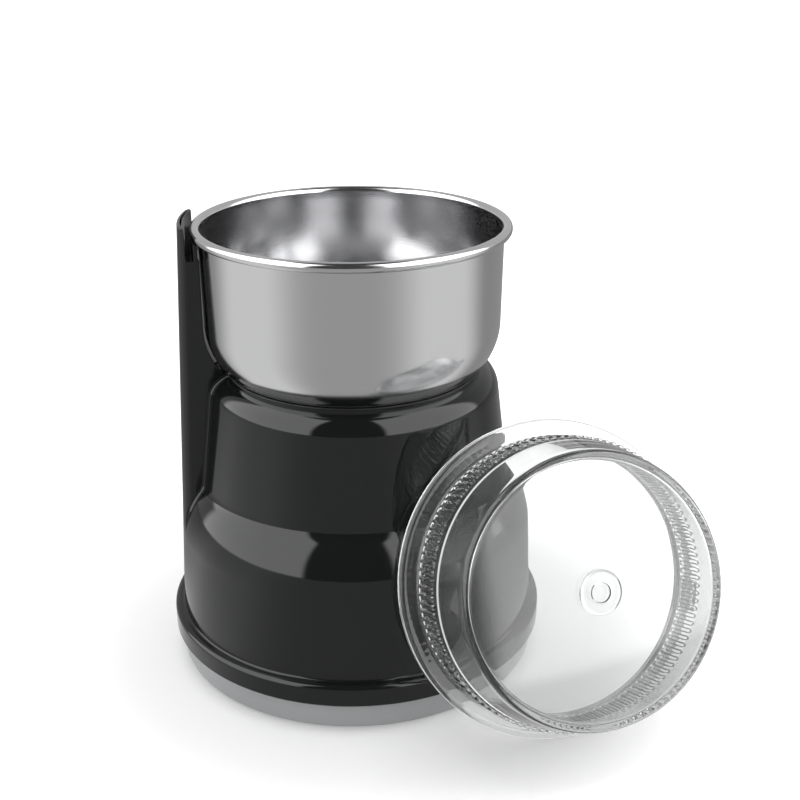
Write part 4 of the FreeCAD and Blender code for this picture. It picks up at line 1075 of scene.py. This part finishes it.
@dataclass
class Studio:
    """Floor, world, lamp and camera. Floor distances are in metres, edges are cosines."""

    lens: float = 57.31
    sensor: float = 36.0
    camera_place: tuple[float, float, float] = (-7.9, -355.5, 222.2)
    camera_drop: float = 21.95
    camera_turn: float = 3.5
    floor_half: float = 4000.0
    paper: str = "#e0e0e0"
    # painted glow on the floor by distance from the object in metres: low near it, to keep the
    # contact shadow, and near white farther out, where it paints light over the lid's cast shadow
    painted_floor_glow: Rise = (0.07, 0.135, 0.28, 0.9)
    back_heading: tuple[float, float, float] = (0.1045, 0.9945, 0.0)
    mirror_front: Rise = (-0.98, -0.5, 0.42, 0.8)
    mirror_back: Rise = (0.0, 0.5, 1.0, 0.4)
    panel_front: Rise = (-0.90, -0.86, 0.0, 1.0)
    panel_back: Rise = (0.32, 0.42, 1.0, 0.16)
    panel_foot: Rise = (-0.02, 0.02, 0.0, 1.0)
    panel_top: Rise = (0.90, 0.94, 1.0, 0.0)
    panel_strength: float = 3.0
    dark_strength: float = 0.06
    behind: Rise = (0.4, 0.72, 0.08, 1.0)
    seen_directly: Rise = (0.0, 1.0, 0.0, 1.0)
    ambient: float = 0.72
    lamp_place: tuple[float, float, float] = (0.0, 60.0, 900.0)
    lamp_size: float = 700.0
    lamp_power: float = 4.0

    def camera(self) -> None:
        """Set the camera where the photograph was taken."""
        data = bpy.data.cameras.new("photo_camera")
        data.sensor_width = self.sensor
        data.lens = self.lens
        data.clip_start = 0.01
        data.clip_end = 20.0
        camera = bpy.data.objects.new("photo_camera", data)
        camera.location = Vector(self.camera_place) * MM
        pitch = math.radians(90 - self.camera_drop)
        camera.rotation_euler = (pitch, 0.0, math.radians(-self.camera_turn))
        bpy.context.scene.collection.objects.link(camera)
        bpy.context.scene.camera = camera

    def front_share(
        self, tree: bpy.types.NodeTree, vector: bpy.types.NodeSocket
    ) -> bpy.types.NodeSocket:
        """Cosine between a vector's level heading and the back: -1 in front, 1 behind.

        Args:
            tree: the node tree.
            vector: the vector.

        Returns:
            The socket that gives the cosine.
        """
        steps = {"MULTIPLY": (1.0, 1.0, 0.0), "NORMALIZE": None, "DOT_PRODUCT": self.back_heading}
        for operation, other in steps.items():
            inputs = {0: vector} if other is None else {0: vector, 1: other}
            node = add_node(tree, "VectorMath", inputs, operation=operation)
            vector = node.outputs[0]
        return node.outputs["Value"]

    def product(
        self, tree: bpy.types.NodeTree, rises: list[tuple[bpy.types.NodeSocket, Rise]]
    ) -> bpy.types.NodeSocket:
        """Product of smooth rises.

        Args:
            tree: the node tree.
            rises: what each one measures, and the rise itself.

        Returns:
            The socket that gives the product.
        """
        whole: object = 1.0
        for value, rise in rises:
            inputs = dict(zip(RANGE, (value, *rise)))
            node = add_node(tree, "MapRange", inputs, interpolation_type="SMOOTHSTEP")
            factors = {0: whole, 1: node.outputs["Result"]}
            whole = add_node(tree, "Math", factors, operation="MULTIPLY").outputs["Value"]
        return whole

    def through(
        self, tree: bpy.types.NodeTree, path: bpy.types.Node
    ) -> bpy.types.NodeSocket:
        """Pick the rays that come straight through no more than two walls of clear plastic.

        Args:
            tree: the node tree.
            path: its light path node.

        Returns:
            The socket that gives 1 for those rays.
        """
        share = path.outputs["Is Transmission Ray"]
        below = {"Diffuse Depth": 0.5, "Glossy Depth": 0.5, "Transmission Depth": 5.5}
        for count, limit in below.items():
            few = add_node(tree, "Math", {0: path.outputs[count], 1: limit}, operation="LESS_THAN")
            factors = {0: share, 1: few.outputs["Value"]}
            share = add_node(tree, "Math", factors, operation="MULTIPLY").outputs["Value"]
        return share

    def floor_material(self) -> bpy.types.Material:
        """White paper with a painted glow where it is seen: weak near the object, which keeps its
        contact shadow, and strong farther out, which paints light over the lid's cast shadow.

        Gloss mirrors it as a plain light instead, darker at the front and far behind.

        Returns:
            The material.
        """
        material = bpy.data.materials.new("matt_white_backdrop_paper")
        material.use_nodes = True
        tree = material.node_tree
        tree.nodes.clear()
        path = add_node(tree, "LightPath")
        place = add_node(tree, "TexCoord").outputs["Object"]
        reach = add_node(tree, "VectorMath", {0: place}, operation="LENGTH").outputs["Value"]
        kinds = {0: path.outputs["Is Camera Ray"], 1: path.outputs["Is Transmission Ray"]}
        direct = add_node(tree, "Math", kinds, operation="MAXIMUM").outputs["Value"]
        # painted light: the floor glows more away from the object, over the lid's cast shadow, for
        # camera rays and straight-through rays
        lift = self.product(tree, [(reach, self.painted_floor_glow), (direct, self.seen_directly)])
        paper = add_node(tree, "BsdfDiffuse", {"Color": linear_colour(self.paper)})
        glow = add_node(tree, "Emission", {"Color": WHITE, "Strength": lift})
        lit = add_node(tree, "AddShader", {0: paper.outputs["BSDF"], 1: glow.outputs["Emission"]})
        heading = self.front_share(tree, place)
        mirror = self.product(tree, [(heading, self.mirror_front), (heading, self.mirror_back)])
        mirrored = add_node(tree, "Emission", {"Color": WHITE, "Strength": mirror})
        layers = (
            (path.outputs["Is Glossy Ray"], mirrored.outputs["Emission"]),
            (self.through(tree, path), lit.outputs["Shader"]),
        )
        seen = lit.outputs["Shader"]
        for share, over in layers:
            seen = add_node(tree, "MixShader", {0: share, 1: seen, 2: over}).outputs["Shader"]
        add_node(tree, "OutputMaterial", {"Surface": seen})
        return material

    def floor(self) -> None:
        """Lay a white floor whose painted glow shows white to the camera, keeps the soft contact
        shadow near the object and lights over the lid's cast shadow farther off.
        """
        half = self.floor_half * MM
        corners = [(x * half, y * half, 0) for x, y in ((-1, -1), (1, -1), (1, 1), (-1, 1))]
        mesh = bpy.data.meshes.new("studio_floor")
        mesh.from_pydata(corners, [], [(0, 1, 2, 3)])
        mesh.materials.append(self.floor_material())
        floor = bpy.data.objects.new("studio_floor", mesh)
        bpy.context.scene.collection.objects.link(floor)

    def world(self) -> None:
        """Light the room evenly, and hang two tall soft panels in it for gloss to mirror.

        The panels stand left and right with a dark aisle at the front, where the camera is,
        and reach from the floor to about 65 degrees up. Clear plastic sees white behind it
        and near black elsewhere, which draws its edges.
        """
        world = bpy.data.worlds.new("white_studio")
        bpy.context.scene.world = world
        world.use_nodes = True
        tree = world.node_tree
        tree.nodes.clear()
        path = add_node(tree, "LightPath")
        place = add_node(tree, "TexCoord").outputs["Generated"]
        split = add_node(tree, "SeparateXYZ", {"Vector": place})
        front = self.front_share(tree, place)
        up = split.outputs["Z"]
        level = [(front, self.panel_front), (front, self.panel_back)]
        panels = self.product(tree, [*level, (up, self.panel_foot), (up, self.panel_top)])
        amounts = {0: panels, 1: self.panel_strength, 2: self.dark_strength}
        mirror = add_node(tree, "Math", amounts, operation="MULTIPLY_ADD").outputs["Value"]
        behind = self.product(tree, [(split.outputs["Y"], self.behind)])
        layers = (
            (path.outputs["Is Glossy Ray"], mirror),
            (self.through(tree, path), behind),
            (path.outputs["Is Camera Ray"], 1.0),
        )
        soft = add_node(tree, "Background", {"Color": WHITE, "Strength": self.ambient})
        seen = soft.outputs["Background"]
        for share, strength in layers:
            over = add_node(tree, "Background", {"Color": WHITE, "Strength": strength})
            shaders = {0: share, 1: seen, 2: over.outputs["Background"]}
            seen = add_node(tree, "MixShader", shaders).outputs["Shader"]
        add_node(tree, "OutputWorld", {"Surface": seen})

    def lamp(self) -> None:
        """Hang one square softbox overhead, for the shadows under the edges."""
        data = bpy.data.lights.new("overhead_softbox", "AREA")
        data.shape = "RECTANGLE"
        data.size = data.size_y = self.lamp_size * MM
        data.energy = self.lamp_power
        light = bpy.data.objects.new("overhead_softbox", data)
        place = Vector(self.lamp_place) * MM
        light.location = place
        light.rotation_euler = (-place).to_track_quat("-Z", "Y").to_euler()
        light.visible_glossy = False
        bpy.context.scene.collection.objects.link(light)

    def build(self) -> None:
        """Set up the whole studio."""
        self.camera()
        self.floor()
        self.world()
        self.lamp()


def main() -> None:
    """Dress the grinder and light it."""
    logging.basicConfig(level=logging.INFO, format="%(message)s")
    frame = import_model()
    Workings().build(frame)
    Housing().build()
    Bowl().build()
    Lid().build()
    Studio().build()
    bpy.context.scene.view_settings.view_transform = "Standard"
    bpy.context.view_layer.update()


if __name__ == "__main__":
    main()
